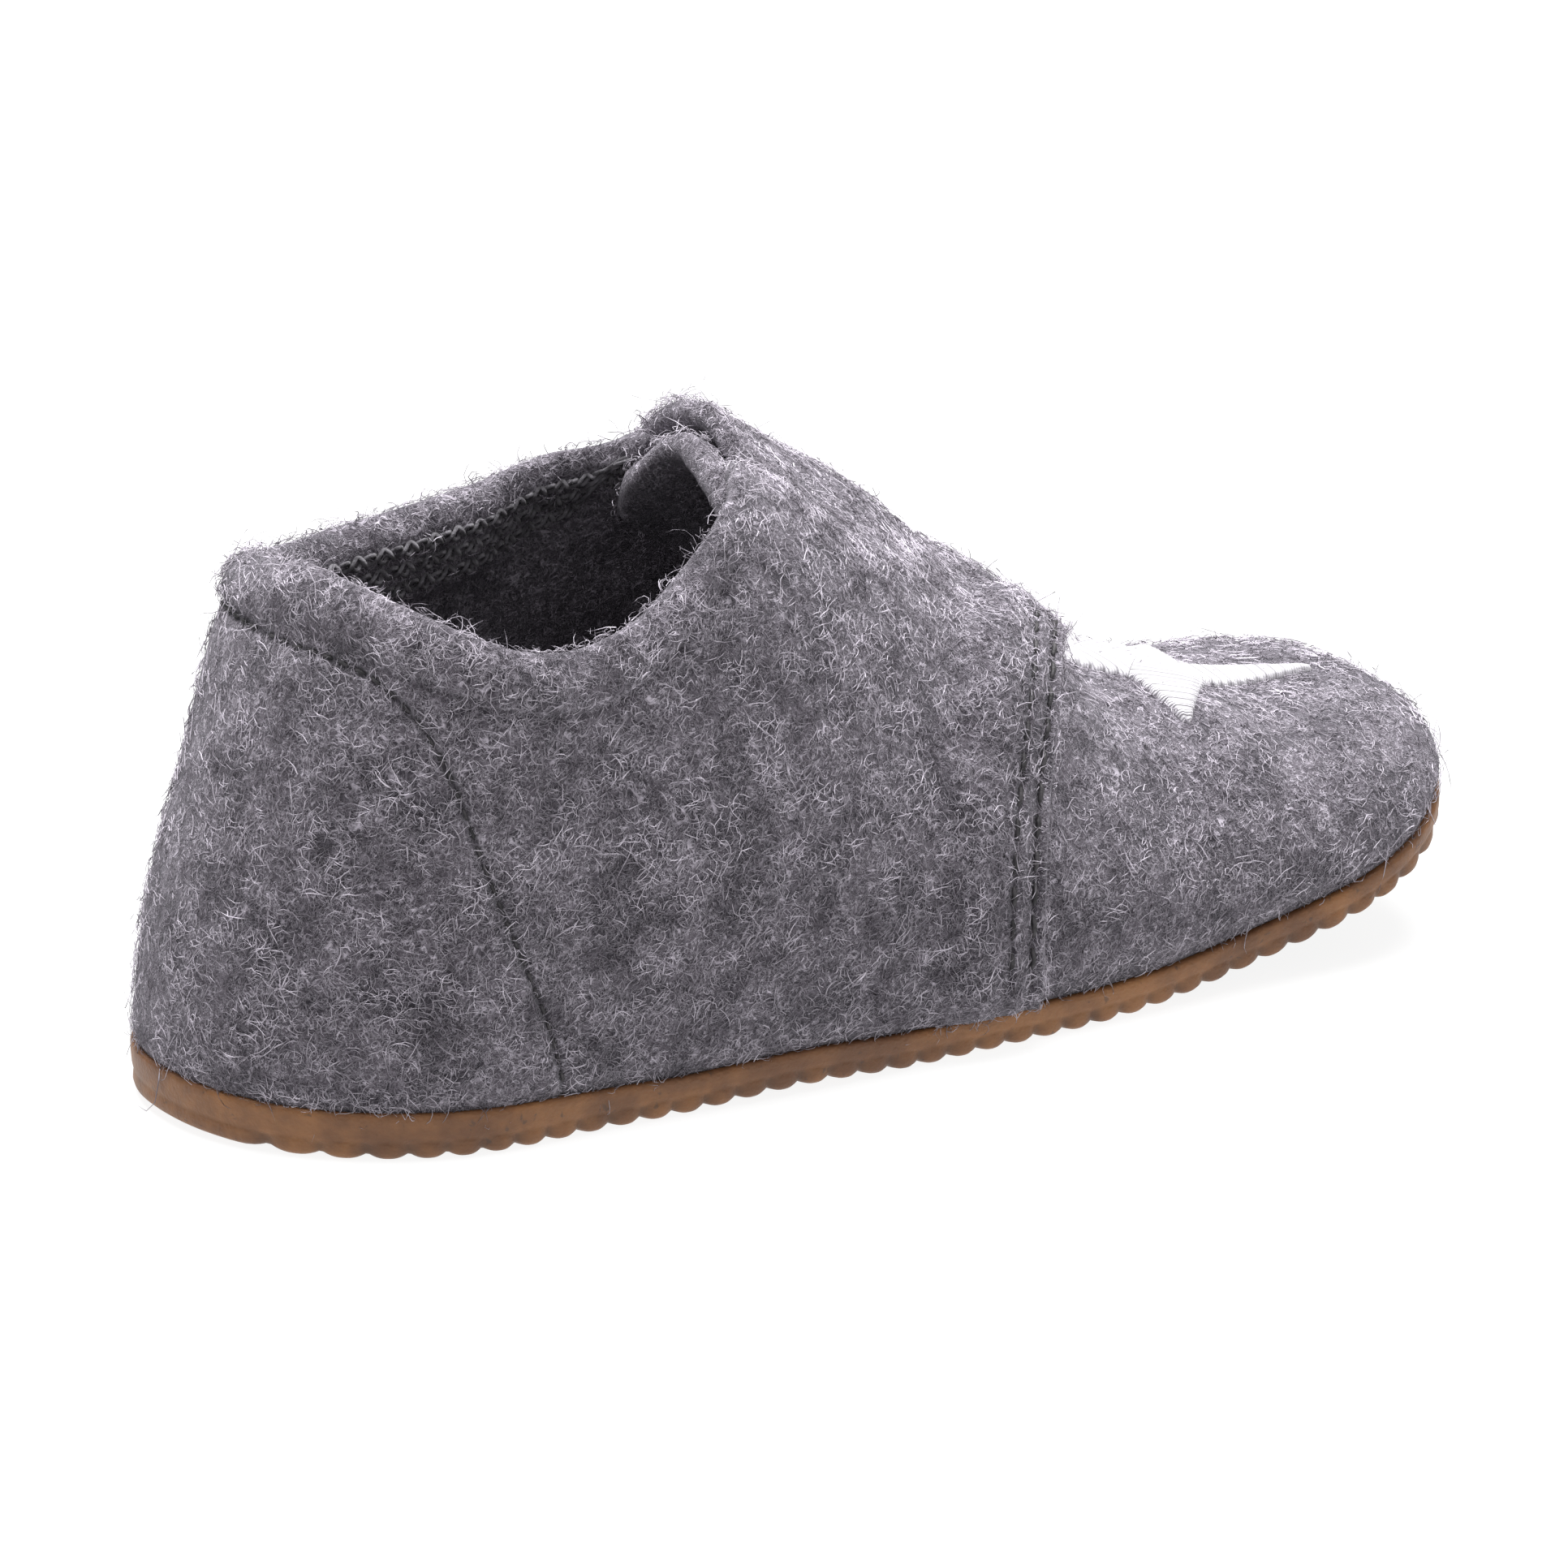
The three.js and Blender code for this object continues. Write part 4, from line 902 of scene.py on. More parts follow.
EDGE_RADIUS = 1.3
COLUMN_STRETCH = 1.35
SHEET_LENGTH = 42
FLAP_ROWS = 44
FLAP_COLUMNS = 34
CORNER_COLUMNS = 15
corner_turn = np.linspace(0, math.pi / 2, CORNER_COLUMNS)[1:]
reach = np.concatenate([np.linspace(FLAP_ROOT, FLAP_REACH - FLAP_CORNER, FLAP_COLUMNS),
                        FLAP_REACH - FLAP_CORNER * (1 - np.sin(corner_turn))])
beyond = np.clip((reach - FLAP_REACH + FLAP_CORNER) / FLAP_CORNER, 0, 1)
corner = FLAP_CORNER * (1 - np.sqrt(1 - beyond ** 2)) / LENGTH
swing = (SEAM - FLAP_FRONT_LATERAL) * ramp(reach, -SLOT_INNER / 2, FLAP_REACH)
rear = flap_rear(reach) + corner
front = SEAM - swing - corner
span = (front - rear) * LENGTH * COLUMN_STRETCH
parts = edge_steps(SHEET_LENGTH, EDGE_RADIUS, FLAP_ROWS)[:, None] / SHEET_LENGTH
share = rear + parts * (front - rear)
across = np.broadcast_to(reach, share.shape)
low, high = flap_faces(share, across)
to_front = (1 - parts) * span
thin = rounded(parts * span, EDGE_RADIUS) * rounded(to_front, EDGE_RADIUS)
thin = thin * rounded(FLAP_REACH - across, EDGE_RADIUS)
flap_outer, flap_inner, flap_triangles = felt_sheet(share, across, low, high, thin)
points, triangles = closed_skin(flap_outer, flap_inner, flap_triangles)
far = np.full(share.size, FAR)
flap = make_piece(
    "closure_flap_felt", points, triangles, felt, "felt",
    counter=np.full(2 * share.size, FAR),
    edge=np.concatenate([np.where(across < 6, to_front, FAR).ravel(), far]),
    rim=np.full(2 * share.size, FAR),
)
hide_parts("closure_flap")

# %% The tongue
SIDE_RADIUS = 1.2
TONGUE_ROWS = 34
TONGUE_COLUMNS = 36
reach = edge_steps(TONGUE_HALF + TONGUE_LATERAL, SIDE_RADIUS, TONGUE_COLUMNS) - TONGUE_HALF
rear = TONGUE_REAR + END_SQUARING * np.abs(reach)
parts = edge_steps(SHEET_LENGTH, EDGE_RADIUS, TONGUE_ROWS)[:, None] / SHEET_LENGTH
share = rear + parts * (TONGUE_FRONT - rear)
across = np.broadcast_to(reach, share.shape)
under_flap = flap_faces(share, across)[0] - CLEARANCE
in_slot = ramp(across, -11.5, -5) * (1 - ramp(across, 2, 11)) * (1 - ramp(share, PATCH_FRONT, SLOT_FRONT))
high = mix(-FELT - CLEARANCE * (3 - ramp(share, HEM_GONE, SLOT_FRONT)), under_flap, in_slot)
thin = rounded(parts * SHEET_LENGTH, EDGE_RADIUS) * rounded(across + TONGUE_HALF, SIDE_RADIUS)
thin = thin * rounded(TONGUE_LATERAL - across, SIDE_RADIUS)
tongue_outer, tongue_inner, tongue_triangles = felt_sheet(share, across, high - FELT, high, thin)
points, triangles = closed_skin(tongue_outer, tongue_inner, tongue_triangles)
tongue = make_piece("tongue_felt", points, triangles, felt_plain, "felt")
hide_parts("tongue")

# %% [markdown]
# ## Sole and insole
# The sole's underside is a row of waves across the shoe, and round its side their ends show as small
# lobes under a smooth band. One profile of the side is carried round the outline. A wave function moves
# its lower points in and up between the lobes. Flat lids close the ring below and above.
# %% Rings with lids
def ring_skin(profiles):
    """Closes a ring of side profiles, lower row to upper row, by strips across below and above. The ring
    starts at the heel's middle and its half way is the toe."""
    count, rows = profiles.shape[:2]
    ids = np.arange(count * rows).reshape(count, rows)
    wall = grid_triangles(np.concatenate([ids, ids[:1]]))
    half = count // 2
    near = ids[:half + 1]
    away = ids[(count - np.arange(half + 1)) % count]
    bottom = grid_triangles(np.stack([near[:, 0], away[:, 0]], axis=1))
    top = grid_triangles(np.stack([away[:, -1], near[:, -1]], axis=1))
    return profiles.reshape(-1, 3), proper(np.concatenate([wall, bottom, top]))


SOLE_END = 3
TREAD_PITCH = 3.6
TREAD_DEPTH = 0.4
RIB_DEPTH = 0.6
HEEL_LIP = 1.2
HEEL_LIP_LENGTH = 62
FIRST_LOBE = 0.2
LOBE_COLUMNS = 12
GROOVE_POWER = 1.3
run = LENGTH - 2 * SOLE_END
pitch = run / round(run / TREAD_PITCH)
stations = np.concatenate([np.linspace(0, SOLE_END, 14) ** 2 / SOLE_END,
                           np.arange(SOLE_END, LENGTH - SOLE_END, pitch / LOBE_COLUMNS)[1:],
                           LENGTH - np.linspace(SOLE_END, 0, 14) ** 2 / SOLE_END])
sole_ring = all_round(outline_angle(stations / LENGTH))
sole_x = outline(sole_ring)[0]
phase = (sole_x - SOLE_END) / pitch - FIRST_LOBE
inside = ramp(sole_x, 0.6, SOLE_END + 1) * ramp(LENGTH - sole_x, 0.6, SOLE_END + 1)
wave = inside * (1 - np.abs(np.sin(math.pi * phase))) ** GROOVE_POWER
print("sole stations:", len(sole_ring))

# %% The outsole
SOLE_PROFILE = [
    # inward, height, share of the rib's depth, share of the tread's lift, share of the heel's lip
    (2.4, 0.0, 1.0, 1.0, 0.0),
    (1.2, 0.0, 1.0, 1.0, 0.0),
    (0.55, 0.15, 1.0, 1.0, 0.0),
    (0.15, 0.5, 1.0, 0.8, 0.0),
    (0.0, 1.0, 1.0, 0.4, 0.0),
    (0.02, 1.5, 0.8, 0.2, 0.0),
    (0.1, 1.85, 0.3, 0.0, 0.0),
    (0.14, 2.0, 0.0, 0.0, 0.0),
    (0.02, 2.2, 0.0, 0.0, 0.1),
    (-0.05, 2.5, 0.0, 0.0, 0.2),
    (-0.05, 3.2, 0.0, 0.0, 0.7),
    (0.0, 3.6, 0.0, 0.0, 0.95),
    (0.2, 3.85, 0.0, 0.0, 1.0),
    (0.9, 3.85, 0.0, 0.0, 1.0),
    (2.5, 3.9, 0.0, 0.0, 0.0),
]
lip = HEEL_LIP * (1 - ramp(sole_x, 4, HEEL_LIP_LENGTH))
rows = []
for inward, height, rib, tread, lip_share in SOLE_PROFILE:
    x, y = outline_offset(sole_ring, -inward - RIB_DEPTH * rib * wave + 0.2 * lip * lip_share)
    z = ground_height(sole_x) + height + TREAD_DEPTH * tread * wave + lip * lip_share
    rows.append(np.stack([x, y, z], axis=-1))
points, triangles = ring_skin(np.stack(rows, axis=1))
# the groove value paints shade into the gaps between the lobes
rib_shares = np.array(SOLE_PROFILE)[:, 2]
outsole = make_piece("outsole_rubber", points, triangles, rubber, "sole_rubber",
                     groove=(wave[:, None] * rib_shares[None, :]).ravel())
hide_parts("outsole")

# %% The insole
INSOLE_PROFILE = [(0.1, 0.02), (0, 0.9), (0.2, 1.5), (0.7, 1.9), (1.6, 2.05), (4, 2.0), (9, 1.9)]
insole_ring = all_round(np.linspace(0, math.pi, 160))
rows = []
for inward, height in INSOLE_PROFILE:
    x, y = outline_offset(insole_ring, -FELT - 2 * CLEARANCE - inward)
    rows.append(np.stack([x, y, ground_height(x) + SOLE_THICKNESS + CLEARANCE + height], axis=-1))
points, triangles = ring_skin(np.stack(rows, axis=1))
insole = make_piece("insole_pad", points, triangles, plain["insole_wool"], "insole_wool")
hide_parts("insole")

# %% The loop and hook patches
for node, tape in (("loop_patch", "loop_tape"), ("hook_patch", "hook_tape")):
    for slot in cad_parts[node].material_slots:
        slot.material = plain[tape]
    print(node, "keeps its solid and gets", tape)

# %% [markdown]
# ## The star
# The star is satin stitch: smooth parallel threads laid over padding, so it stands up like a low pillow
# and its outline is a little jagged where each thread turns. It is drawn flat above the toe in rings from
# its middle to its outline, laid on the felt by a Shrinkwrap modifier, and then raised off the felt.
# %% Lay the star on the vamp
STAR = {
    "along": [0.934, 0.848, 0.869, 0.797, 0.738, 0.748, 0.7, 0.759, 0.764, 0.83],
    "across": [-0.11, 0.022, 0.22, 0.11, 0.229, 0.046, 0.009, -0.125, -0.303, -0.116],
}
STAR_CENTRE = (0.797 * LENGTH, -0.015 * BALL_WIDTH)
STAR_HEIGHT = 0.75
STAR_BLUNT = 1.0
STAR_LIFT = 0.05
STAR_ROOT = 0.35
PILLOW_RADIUS = 1.4
SCALLOP = 0.35


def star_reach(turn):
    """Distance from the star's middle to its outline in each direction, by the crossing of each ray
    with the side that it meets, and the way that the arm there points. The sides are scalloped where
    bunches of thread turn round, and the tips are blunt."""
    x = np.array(STAR["along"]) * LENGTH - STAR_CENTRE[0]
    y = np.array(STAR["across"]) * BALL_WIDTH - STAR_CENTRE[1]
    corner_turn = np.unwrap(np.arctan2(y, x))
    corner_turn = corner_turn - 2 * math.pi * np.floor(corner_turn[0] / (2 * math.pi))
    turn = corner_turn[0] + (turn - corner_turn[0]) % (2 * math.pi)
    first = np.searchsorted(np.append(corner_turn, corner_turn[0] + 2 * math.pi), turn, side="right") - 1
    first = np.clip(first, 0, len(x) - 1)
    second = (first + 1) % len(x)
    side_x, side_y = x[second] - x[first], y[second] - y[first]
    turned = np.cos(turn) * side_y - np.sin(turn) * side_x
    reach = (x[first] * side_y - y[first] * side_x) / turned
    tip = np.where(first % 2 == 0, first, second)
    tip_reach = np.hypot(x, y)[tip]
    along = (reach * np.cos(turn) * x[tip] + reach * np.sin(turn) * y[tip]) / tip_reach
    scallop = SCALLOP * (np.abs(np.sin(math.pi * along / BUNCH)) - 0.5)
    return np.minimum(reach, tip_reach - STAR_BLUNT) + scallop, np.stack([x, y])[:, tip] / tip_reach


turn = np.linspace(0, 2 * math.pi, 481)[:-1]
ring_part = np.concatenate([[0], np.linspace(0.12, 0.88, 11), [0.94, 0.98, 1.0]])
reach_out, arm_way = star_reach(turn)
radius = ring_part[:, None] * reach_out[None, :]
star_x = STAR_CENTRE[0] + radius * np.cos(turn)
star_y = STAR_CENTRE[1] + radius * np.sin(turn)
flat = np.stack([star_x, star_y, np.full_like(star_x, INSTEP_HEIGHT)], axis=-1).reshape(-1, 3)
template_mesh = bpy.data.meshes.new("star_template")
template_mesh.from_pydata(((flat + SHIFT) / 1000).tolist(), [], [])
template = add_object("star_template", template_mesh)
wrap = template.modifiers.new("lay", "SHRINKWRAP")
wrap.target = upper
wrap.wrap_method = "PROJECT"
wrap.use_negative_direction = True
wrap.use_positive_direction = False
wrap.use_project_z = True
laid = template.evaluated_get(bpy.context.evaluated_depsgraph_get()).to_mesh()
place = np.empty(3 * len(laid.vertices), np.float32)
laid.vertices.foreach_get("co", place)
on_vamp = place.reshape(-1, 3).astype(float) * 1000 - SHIFT
bpy.data.objects.remove(template)
print("star lies between", on_vamp[:, 2].min().round(1), "and", on_vamp[:, 2].max().round(1), "mm high")

# %% Raise the star
grid = on_vamp.reshape(len(ring_part), len(turn), 3)
ahead = np.roll(grid, -4, axis=1) - np.roll(grid, 4, axis=1)
outward_way = np.gradient(grid, axis=0)
up = unit(np.cross(outward_way, ahead))
up = np.where(up[..., 2:] < 0, -up, up)
up[0] = unit(up[1:4].mean(axis=(0, 1)))
pillow = STAR_HEIGHT * rounded((1 - ring_part)[:, None] * reach_out[None, :], PILLOW_RADIUS) + STAR_LIFT
top = grid + up * pillow[..., None]
base = grid - up * STAR_ROOT
star_ids = np.arange(radius.size).reshape(radius.shape)
star_ids[0] = 0
star_ids = np.concatenate([star_ids, star_ids[:, :1]], axis=1)
thread = radius * (np.cos(turn) * arm_way[0] + np.sin(turn) * arm_way[1])[None, :]
points, triangles = closed_skin(top.reshape(-1, 3), base.reshape(-1, 3), grid_triangles(star_ids))
star = make_piece("star_embroidery", points, triangles, satin, "star_thread",
                  thread=np.concatenate([thread.ravel(), thread.ravel()]))
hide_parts("star_patch")

# %% [markdown]
# ## Stitches
# A stitch is a short thread that dives into the felt at both ends. One small capsule is the model for
# all of them. It is copied along each seam line by whole arrays, so hundreds of stitches are one mesh.
# %% Copy stitches along a line
BEAD_RINGS = 7
BEAD_SIDES = 8
# each kind of stitch has its spacing, and the share of it that shows as thread
TOPSTITCH = (3.4, 0.72)
TOPSTITCH_RADIUS = 0.26
COUNTER_STITCH = (2.0, 0.7)
COUNTER_STITCH_RADIUS = 0.19
STITCH_ROWS = (2.3, 5.0)
ROW_STOPS = ((-1, 9.5), (1, 27))
COUNTER_END = 0.212
ROW_START = 3.0
STITCH_LIFT = 0.06
COUNTER_SINK = 0.2


def spokes(sides, sideways, lift_way):
    """Directions from a centre to the corners of a ring, for each pair of directions across a path."""
    turn = np.linspace(0, 2 * math.pi, sides + 1)[:-1, None]
    return np.cos(turn) * sideways[:, None] + np.sin(turn) * lift_way[:, None]


def capsules(starts, ends, normals, thickness):
    """A closed bead of eight sides for each pair of ends, thickest in its middle and bowed outwards."""
    along = ends - starts
    sideways = unit(np.cross(along, normals))
    lift_way = unit(np.cross(sideways, along))
    part = np.linspace(0, 1, BEAD_RINGS)
    bow = thickness * (0.9 * np.sin(math.pi * part) - 0.55)
    centre = starts[:, None] + along[:, None] * part[:, None] + lift_way[:, None] * bow[:, None]
    size = thickness * np.sqrt(np.clip(1 - (2 * part - 1) ** 4, 0.02, 1))
    rings = centre[:, :, None] + spokes(BEAD_SIDES, sideways, lift_way)[:, None] * size[:, None, None]
    ids = np.arange(BEAD_RINGS * BEAD_SIDES).reshape(BEAD_RINGS, BEAD_SIDES)
    wall = grid_triangles(np.concatenate([ids, ids[:, :1]], axis=1))
    corners = range(1, BEAD_SIDES - 1)
    lids = [(ids[0, 0], ids[0, k], ids[0, k + 1]) for k in corners]
    lids += [(ids[-1, 0], ids[-1, k + 1], ids[-1, k]) for k in corners]
    return rings.reshape(-1, 3), copies(np.concatenate([wall, np.array(lids)]), ids.size, len(starts))


def spaced(points, normals, spacing, filled):
    """Start, end and outward direction of each stitch along a line, a stitch and then a gap."""
    along = run_along(points)
    starts = np.arange(spacing / 2, along[-1] - spacing, spacing)
    rows = []
    for values, at in ((points, starts), (points, starts + spacing * filled), (normals, starts)):
        rows.append(np.stack([np.interp(at, along, values[:, axis]) for axis in range(3)], axis=1))
    return rows


def seam_row(side_sign, behind, low_rise, stop_across):
    """A line on the quarter at a distance behind the front seam."""
    column_lengths = measure(side_sign * outline_angle([SEAM]))[1]
    wanted = np.linspace(low_rise, column_lengths[0, -1] - stop_across, 160)[None, :]
    rise = rises_at(column_lengths, wanted)[0]
    share = np.full(rise.shape, SEAM)
    for _ in range(3):
        angle = side_sign * outline_angle(share)
        distance = behind_seam(angle, rise)
        share = share - (behind - distance) / (LENGTH * COLUMN_STRETCH)
    angle = side_sign * outline_angle(share)
    column_total = measure(angle)[1][:, -1]
    away = FAR + 0 * rise if side_sign < 0 else column_total - wanted[0]
    height = lap_height(angle, rise, away) + STITCH_LIFT
    return shell_offset(angle, rise, height), shell_normal(angle, rise)


pieces = []
for side_sign, stop_across in ROW_STOPS:
    for behind in STITCH_ROWS:
        line, line_normals = seam_row(side_sign, behind, ROW_START, stop_across)
        pieces.append(capsules(*spaced(line, line_normals, *TOPSTITCH), TOPSTITCH_RADIUS))
for side_sign in (-1, 1):
    line_angles = side_sign * outline_angle(np.linspace(0.0, COUNTER_END, 150))
    crossing = counter_lengths(line_angles)[0]
    rise = rises_at(measure(line_angles)[1], crossing[:, None])[:, 0]
    line = shell_offset(line_angles, rise, np.full(rise.shape, -COUNTER_SINK))
    line_normals = shell_normal(line_angles, rise)
    pieces.append(capsules(*spaced(line, line_normals, *COUNTER_STITCH), COUNTER_STITCH_RADIUS))
make_piece("seam_stitches", *joined(pieces), plain["stitch_thread"], "felt")

# %% [markdown]
# Inside the collar, three rows of looped yarn hold the hem down, as a cover stitch does. Each row is two
# thin tubes that follow the rim and swing from side to side against each other. Two directions across
# each path carry a circle along it.
# %% Hem yarn
YARN_ROWS = (2.3, 4.6, 6.9)
YARN_LOOP = 2.3
YARN_SWING = 0.62
YARN_HUMP = 0.22
YARN_RADIUS = 0.26
YARN_LIFT = 0.15


def tube(path, normals, radius, sides):
    """Carries a circle along a path and closes both ends to a point."""
    sideways = unit(np.cross(unit(np.gradient(path, axis=0)), normals))
    lift_way = np.cross(sideways, unit(np.gradient(path, axis=0)))
    size = np.full(len(path), radius)
    size[[0, -1]] = 0.0
    rings = path[:, None] + spokes(sides, sideways, lift_way) * size[:, None, None]
    ids = np.arange(len(path) * sides).reshape(len(path), sides)
    ids[0] = ids[0, 0]
    ids[-1] = ids[-1, 0]
    return rings.reshape(-1, 3), proper(grid_triangles(np.concatenate([ids, ids[:, :1]], axis=1)))


pieces = []
yarn_angles = np.linspace(-float(outline_angle(0.325)), float(outline_angle(0.42)), 1150)
yarn_rim, column_lengths = rim_length(yarn_angles)
yarn_run = run_along(shell(yarn_angles, np.full(yarn_angles.shape, 0.9)))
weight = 1 - ramp(np.abs(yarn_angles), outline_angle(FOLD_END), outline_angle(FOLD_GONE))
for depth in YARN_ROWS:
    for phase in (0, math.pi):
        swing = YARN_SWING * np.sin(2 * math.pi * yarn_run / YARN_LOOP + phase)
        hump = YARN_HUMP * np.cos(4 * math.pi * yarn_run / YARN_LOOP + phase)
        rise = rises_at(column_lengths, (yarn_rim - depth - swing)[:, None])[:, 0]
        path = shell_offset(yarn_angles, rise, -FELT - HEM_FOLD * weight - YARN_LIFT + hump)
        pieces.append(tube(path, -shell_normal(yarn_angles, rise), YARN_RADIUS, 4))
make_piece("hem_yarn", *joined(pieces), plain["hem_yarn"], "felt")

# %% [markdown]
# ## Loose wool
# Boiled wool is covered in fine curled hairs, and they soften its outline. Particle hair isn't kept in a
# plain mesh, so each hair is a tiny spindle with three sides. Its path turns in the plane of the felt at
# a rate that changes along it, and it lifts a little off the surface. All hairs of a part are made at
# once from arrays of random numbers with a fixed seed.
# %% Grow hairs on triangles
HAIR_RINGS = 4
LENGTH_SPREAD = 0.35
SIZE_SPREAD = 0.25
CURL = 2.2
BEND = 1.6
STANDING_SHARE = 0.16
STANDING_RISE = 2.6
HAIR_GAP = 0.02
FLOOR_GAP = 0.1


def strew(points, triangles, count, dice):
    """Random places on a skin, as many on each triangle as its area asks, with its direction."""
    a, b, c = (points[triangles[:, corner]] for corner in range(3))
    cross = np.cross(b - a, c - a)
    area = np.linalg.norm(cross, axis=1)
    chosen = dice.choice(len(triangles), count, p=area / area.sum())
    first, second = np.sqrt(dice.random(count)), dice.random(count)
    weights = np.stack([1 - first, first * (1 - second), first * second], axis=1)
    corners = points[triangles[chosen]]
    return (corners * weights[..., None]).sum(axis=1), unit(cross[chosen])


def hairs(roots, normals, length, lift, thickness, dice):
    """Spindles along curled paths. The heading turns at a steady rate plus a slow swing, and the height
    over the felt rises and falls like half a sine, or keeps rising for a hair that stands off."""
    count = len(roots)
    axis = unit(np.cross(normals, unit(dice.standard_normal((count, 3)))))
    other = np.cross(normals, axis)
    own_length = length * np.exp(LENGTH_SPREAD * dice.standard_normal(count))
    part = np.linspace(0, 1, HAIR_RINGS + 2)
    curl = dice.normal(0, CURL, count)
    bend = dice.normal(0, BEND, count)
    phase = dice.uniform(0, 2 * math.pi, count)
    heading = curl[:, None] * part + bend[:, None] * np.sin(4 * part[None, :] + phase[:, None])
    step = own_length[:, None] / (HAIR_RINGS + 1)
    cosine, sine = np.cos(heading), np.sin(heading)
    run_a = np.cumsum(cosine * step, axis=1) - cosine * step
    run_b = np.cumsum(sine * step, axis=1) - sine * step
    stands = (dice.random(count) < STANDING_SHARE)[:, None]
    own_lift = lift * np.abs(dice.normal(1, 0.5, count))[:, None]
    height = np.where(stands, own_lift * STANDING_RISE * part, own_lift * np.sin(math.pi * part)) + HAIR_GAP
    path = roots[:, None] + run_a[..., None] * axis[:, None] + run_b[..., None] * other[:, None]
    path = path + height[..., None] * normals[:, None]
    path[..., 2] = np.maximum(path[..., 2], FLOOR_GAP)
    forward = cosine[..., None] * axis[:, None] + sine[..., None] * other[:, None]
    sideways = np.cross(normals[:, None], forward)
    size = thickness * np.exp(SIZE_SPREAD * dice.standard_normal(count))[:, None] * (1 - part / 2)
    turn = np.radians([90, 210, 330])
    corners = np.cos(turn)[:, None] * sideways[:, 1:-1, None] + np.sin(turn)[:, None] * normals[:, None, None]
    rings = path[:, 1:-1, None] + corners * size[:, 1:-1, None, None]
    points = np.concatenate([path[:, :1], rings.reshape(count, -1, 3), path[:, -1:]], axis=1)
    each = points.shape[1]
    body = 1 + np.arange(3 * HAIR_RINGS).reshape(HAIR_RINGS, 3)
    wall = grid_triangles(np.concatenate([body, body[:, :1]], axis=1))
    root_cap = [(0, body[0, (k + 1) % 3], body[0, k]) for k in range(3)]
    tip_cap = [(each - 1, body[-1, k], body[-1, (k + 1) % 3]) for k in range(3)]
    one = np.concatenate([wall, np.array(root_cap), np.array(tip_cap)])
    return points.reshape(-1, 3), copies(one, each, count)


print("a hair has", 6 * HAIR_RINGS, "triangles")

# %% Hairs of each part
face_column = np.minimum(upper_triangles // arcs.shape[1], len(ring) - 1).max(axis=1)
face_row = (upper_triangles % arcs.shape[1]).min(axis=1)
face_side = np.where(face_column >= len(shares), -1, 1)
face_share = ring_share[face_column]
is_quarter = face_share < SEAM
at_rim = is_open[face_column] & (face_row >= WALL_ROWS + BAND_ROWS - 4)
at_base = face_row < 3
inner_points = inner.reshape(-1, 3)
inner_rim = upper_triangles[at_rim | (is_open[face_column] & (face_row >= WALL_ROWS))][:, ::-1]
rear_flap = flap_triangles[(flap_triangles // len(span)).max(axis=1) < 9]
rear_tongue = tongue_triangles[(tongue_triangles // across.shape[1]).max(axis=1) < 12]
LYING = (2.7, 0.24, 0.052)
STANDING = (2.1, 0.36, 0.045)
FIRST_SEED = 300
SHOE_MIDDLE = np.array([LENGTH / 2, 0, 25])
WAIST_START = 0.42
at_side = upper_triangles[(face_side < 0) & (face_share < WAIST_START)]
at_waist = upper_triangles[(face_side < 0) & (face_share >= WAIST_START) & is_quarter]
fields = [
    # name, points, triangles, hairs, length, lift and thickness in mm
    ("wool_inner_side", upper_outer, at_side, 6900, *LYING),
    ("wool_outer_side", upper_outer, upper_triangles[(face_side > 0) & is_quarter], 5200, *LYING),
    ("wool_waist", upper_outer, at_waist, 3400, *LYING),
    ("wool_vamp", upper_outer, upper_triangles[~is_quarter], 5600, *LYING),
    ("wool_flap", flap_outer, flap_triangles, 2900, *LYING),
    ("wool_flap_edge", flap_outer, rear_flap, 500, *STANDING),
    ("wool_rim", upper_outer, upper_triangles[at_rim], 1300, *STANDING),
    ("wool_hem", inner_points, inner_rim, 1200, *STANDING),
    ("wool_tongue", tongue_outer, rear_tongue, 500, *STANDING),
    ("wool_base", upper_outer, upper_triangles[at_base], 500, 2.6, 0.5, 0.035),
]
for number, (name, skin, faces, count, length, lift, thickness) in enumerate(fields):
    dice = np.random.default_rng(FIRST_SEED + number)
    roots, normals = strew(skin, faces, count, dice)
    turned = (normals * (roots - SHOE_MIDDLE)).sum() < 0
    if turned != (name == "wool_hem"):
        normals = -normals
    points, triangles = hairs(roots, normals, length, lift, thickness, dice)
    make_piece(name, points, triangles, plain["wool_fibre"], "felt")

# %% [markdown]
# ## Studio
# The shoe stands on a wide white floor, which isn't part of it. A white world and one large soft light
# from above give bright tops and quiet sides. The camera has the place, turn and roll that a fit of the
# form to the photograph gave.
# %% Floor, light and camera
FLOOR_REACH = 4.0


def stage_floor():
    """A wide flat floor of white paper that shines a little of its own."""
    finish = Finish("studio_paper")
    shade = finish.soft(finish.noise(3, detail=1.0), 0.3, 0.7)
    colour = finish.blend((0.15, 0.15, 0.15, 1), (0.17, 0.17, 0.17, 1), shade)
    paper = finish.surface(Base_Color=colour, Roughness=0.9, Specular_IOR_Level=0.1,
                           Emission_Color=(1, 1, 1, 1), Emission_Strength=0.88)
    corners = [(x * FLOOR_REACH, y * FLOOR_REACH, 0) for x, y in ((-1, -1), (1, -1), (1, 1), (-1, 1))]
    mesh = bpy.data.meshes.new("studio_floor")
    mesh.from_pydata(corners, [], [(0, 1, 2, 3)])
    mesh.materials.append(paper)
    add_object("studio_floor", mesh)


def soft_light(name, place, target, size, power):
    """A square light turned towards a target."""
    data = bpy.data.lights.new(name, "AREA")
    data.size = size
    data.energy = power
    lamp = add_object(name, data)
    lamp.location = place
    lamp.rotation_euler = (Vector(target) - Vector(place)).to_track_quat("-Z", "Y").to_euler()


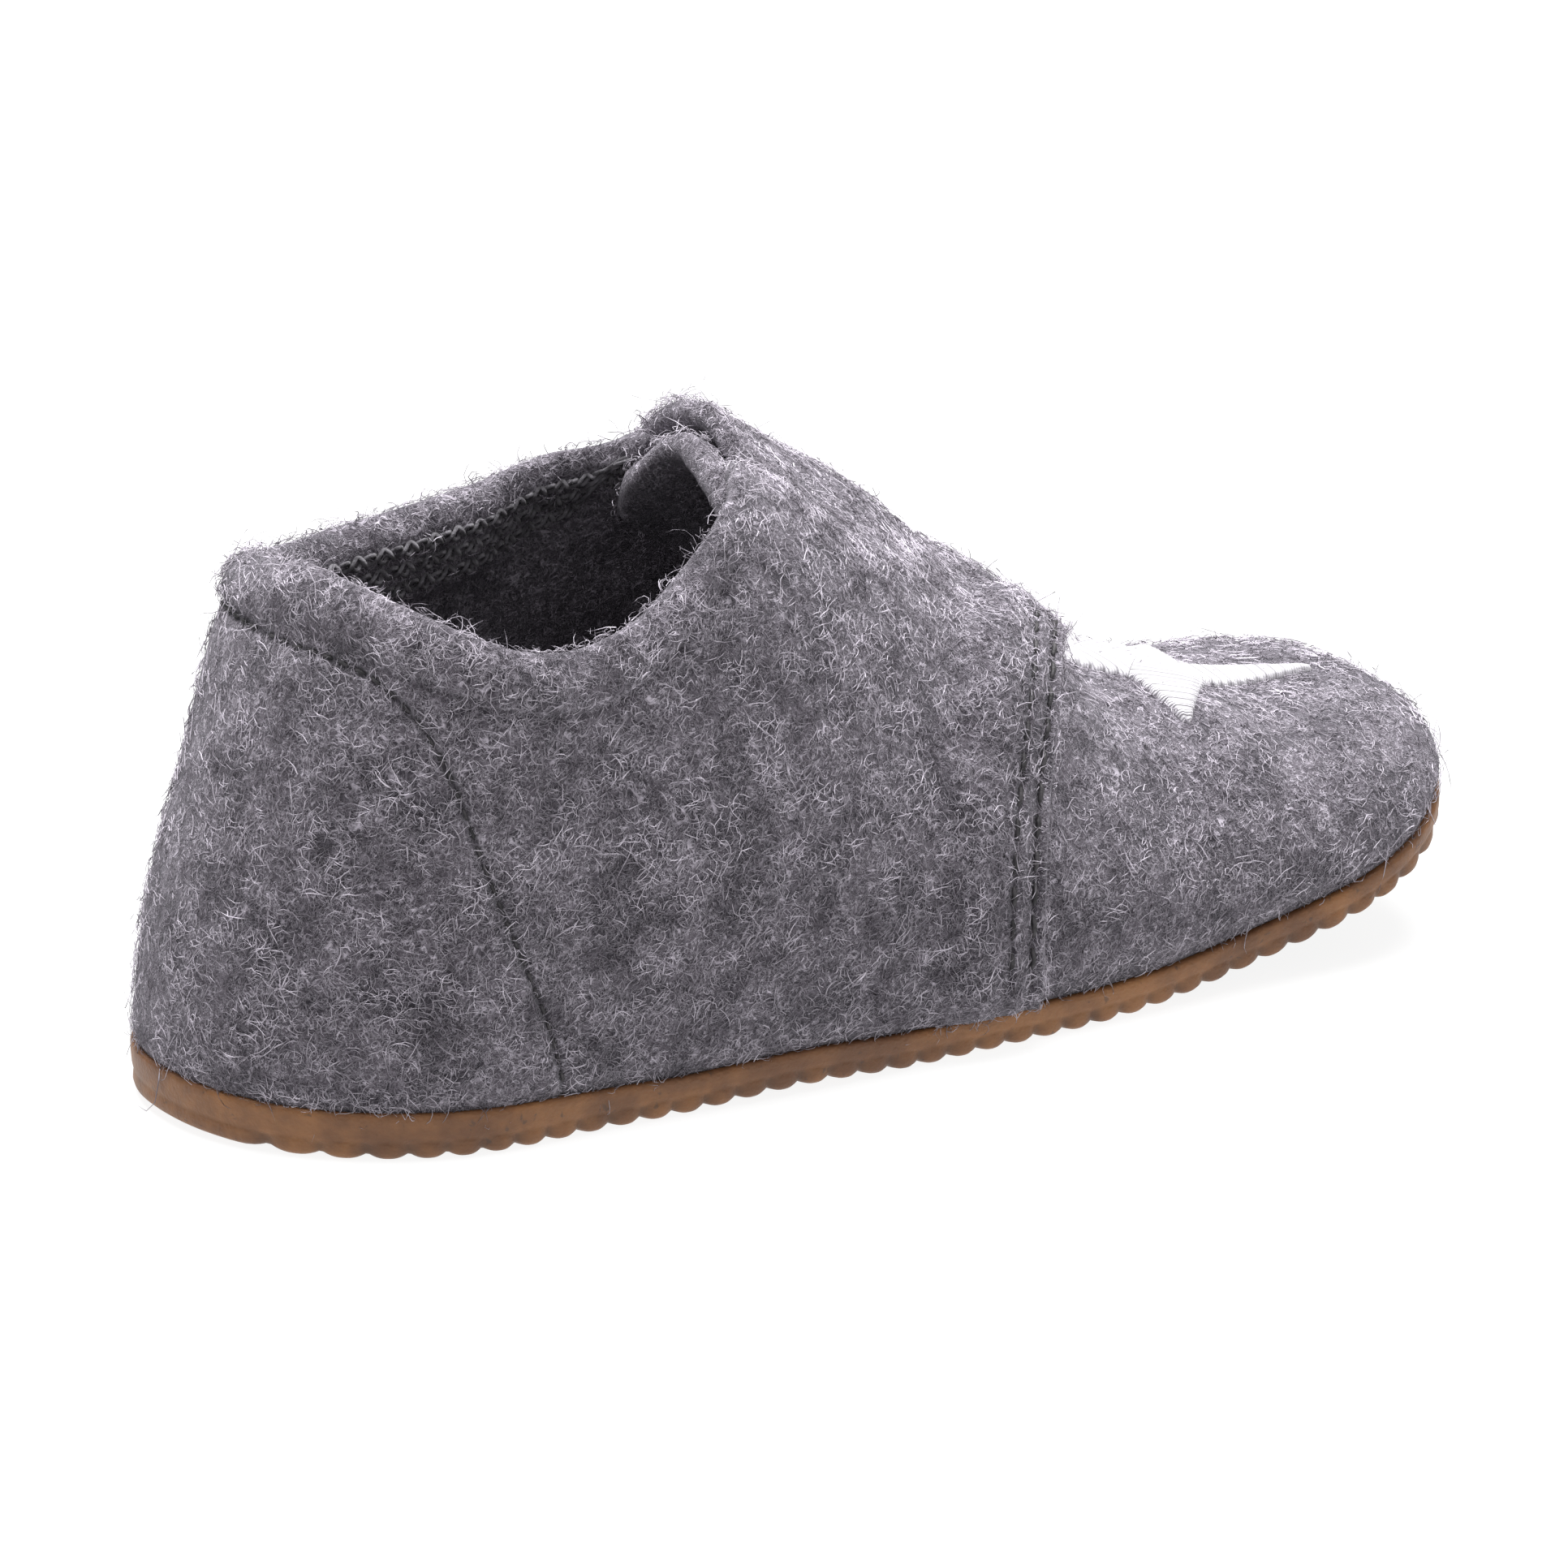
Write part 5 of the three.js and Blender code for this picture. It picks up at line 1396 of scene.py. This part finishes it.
stage_floor()
world = bpy.data.worlds.new("studio")
world.use_nodes = True
world.node_tree.nodes["Background"].inputs["Color"].default_value = (1, 1, 1, 1)
world.node_tree.nodes["Background"].inputs["Strength"].default_value = 0.5
bpy.context.scene.world = world
soft_light("top_light", (0.05, 0.12, 0.7), (0, 0, 0.03), 0.6, 14)
bpy.context.scene.view_settings.view_transform = "Standard"

VIEW_AZIMUTH = math.radians(34.802)
VIEW_ELEVATION = math.radians(18.672)
VIEW_ROLL = math.radians(0.74)
VIEW_DISTANCE = 1119.07
FOCAL_PIXELS = 13685
PHOTO_SIDE = 1932
SENSOR_WIDTH = 36
PHOTO_CENTRE = (971.395, 819.027)
back = np.array([-math.sin(VIEW_AZIMUTH) * math.cos(VIEW_ELEVATION),
                 -math.cos(VIEW_AZIMUTH) * math.cos(VIEW_ELEVATION), math.sin(VIEW_ELEVATION)])
level = np.array([math.cos(VIEW_AZIMUTH), -math.sin(VIEW_AZIMUTH), 0])
upright = np.cross(back, level)
right = level * math.cos(VIEW_ROLL) + upright * math.sin(VIEW_ROLL)
upright = -level * math.sin(VIEW_ROLL) + upright * math.cos(VIEW_ROLL)
eye = (np.array([LENGTH / 2, 0, 35]) + back * VIEW_DISTANCE + SHIFT) / 1000
aim_right = (PHOTO_SIDE / 2 - PHOTO_CENTRE[0]) / FOCAL_PIXELS
aim_up = (PHOTO_CENTRE[1] - PHOTO_SIDE / 2) / FOCAL_PIXELS
backwards = unit(back - right * aim_right - upright * aim_up)
upright = unit(upright - backwards * (upright @ backwards))
right = np.cross(upright, backwards)
camera_data = bpy.data.cameras.new("camera")
camera_data.sensor_width = SENSOR_WIDTH
camera_data.lens = FOCAL_PIXELS / PHOTO_SIDE * SENSOR_WIDTH
camera_data.clip_start = 0.05
camera = add_object("camera", camera_data)
turn_matrix = Matrix([right, upright, backwards]).transposed()
camera.matrix_world = Matrix.Translation(Vector(eye)) @ turn_matrix.to_4x4()
bpy.context.scene.camera = camera
print("lens", round(camera_data.lens, 1), "mm, camera", eye.round(3))
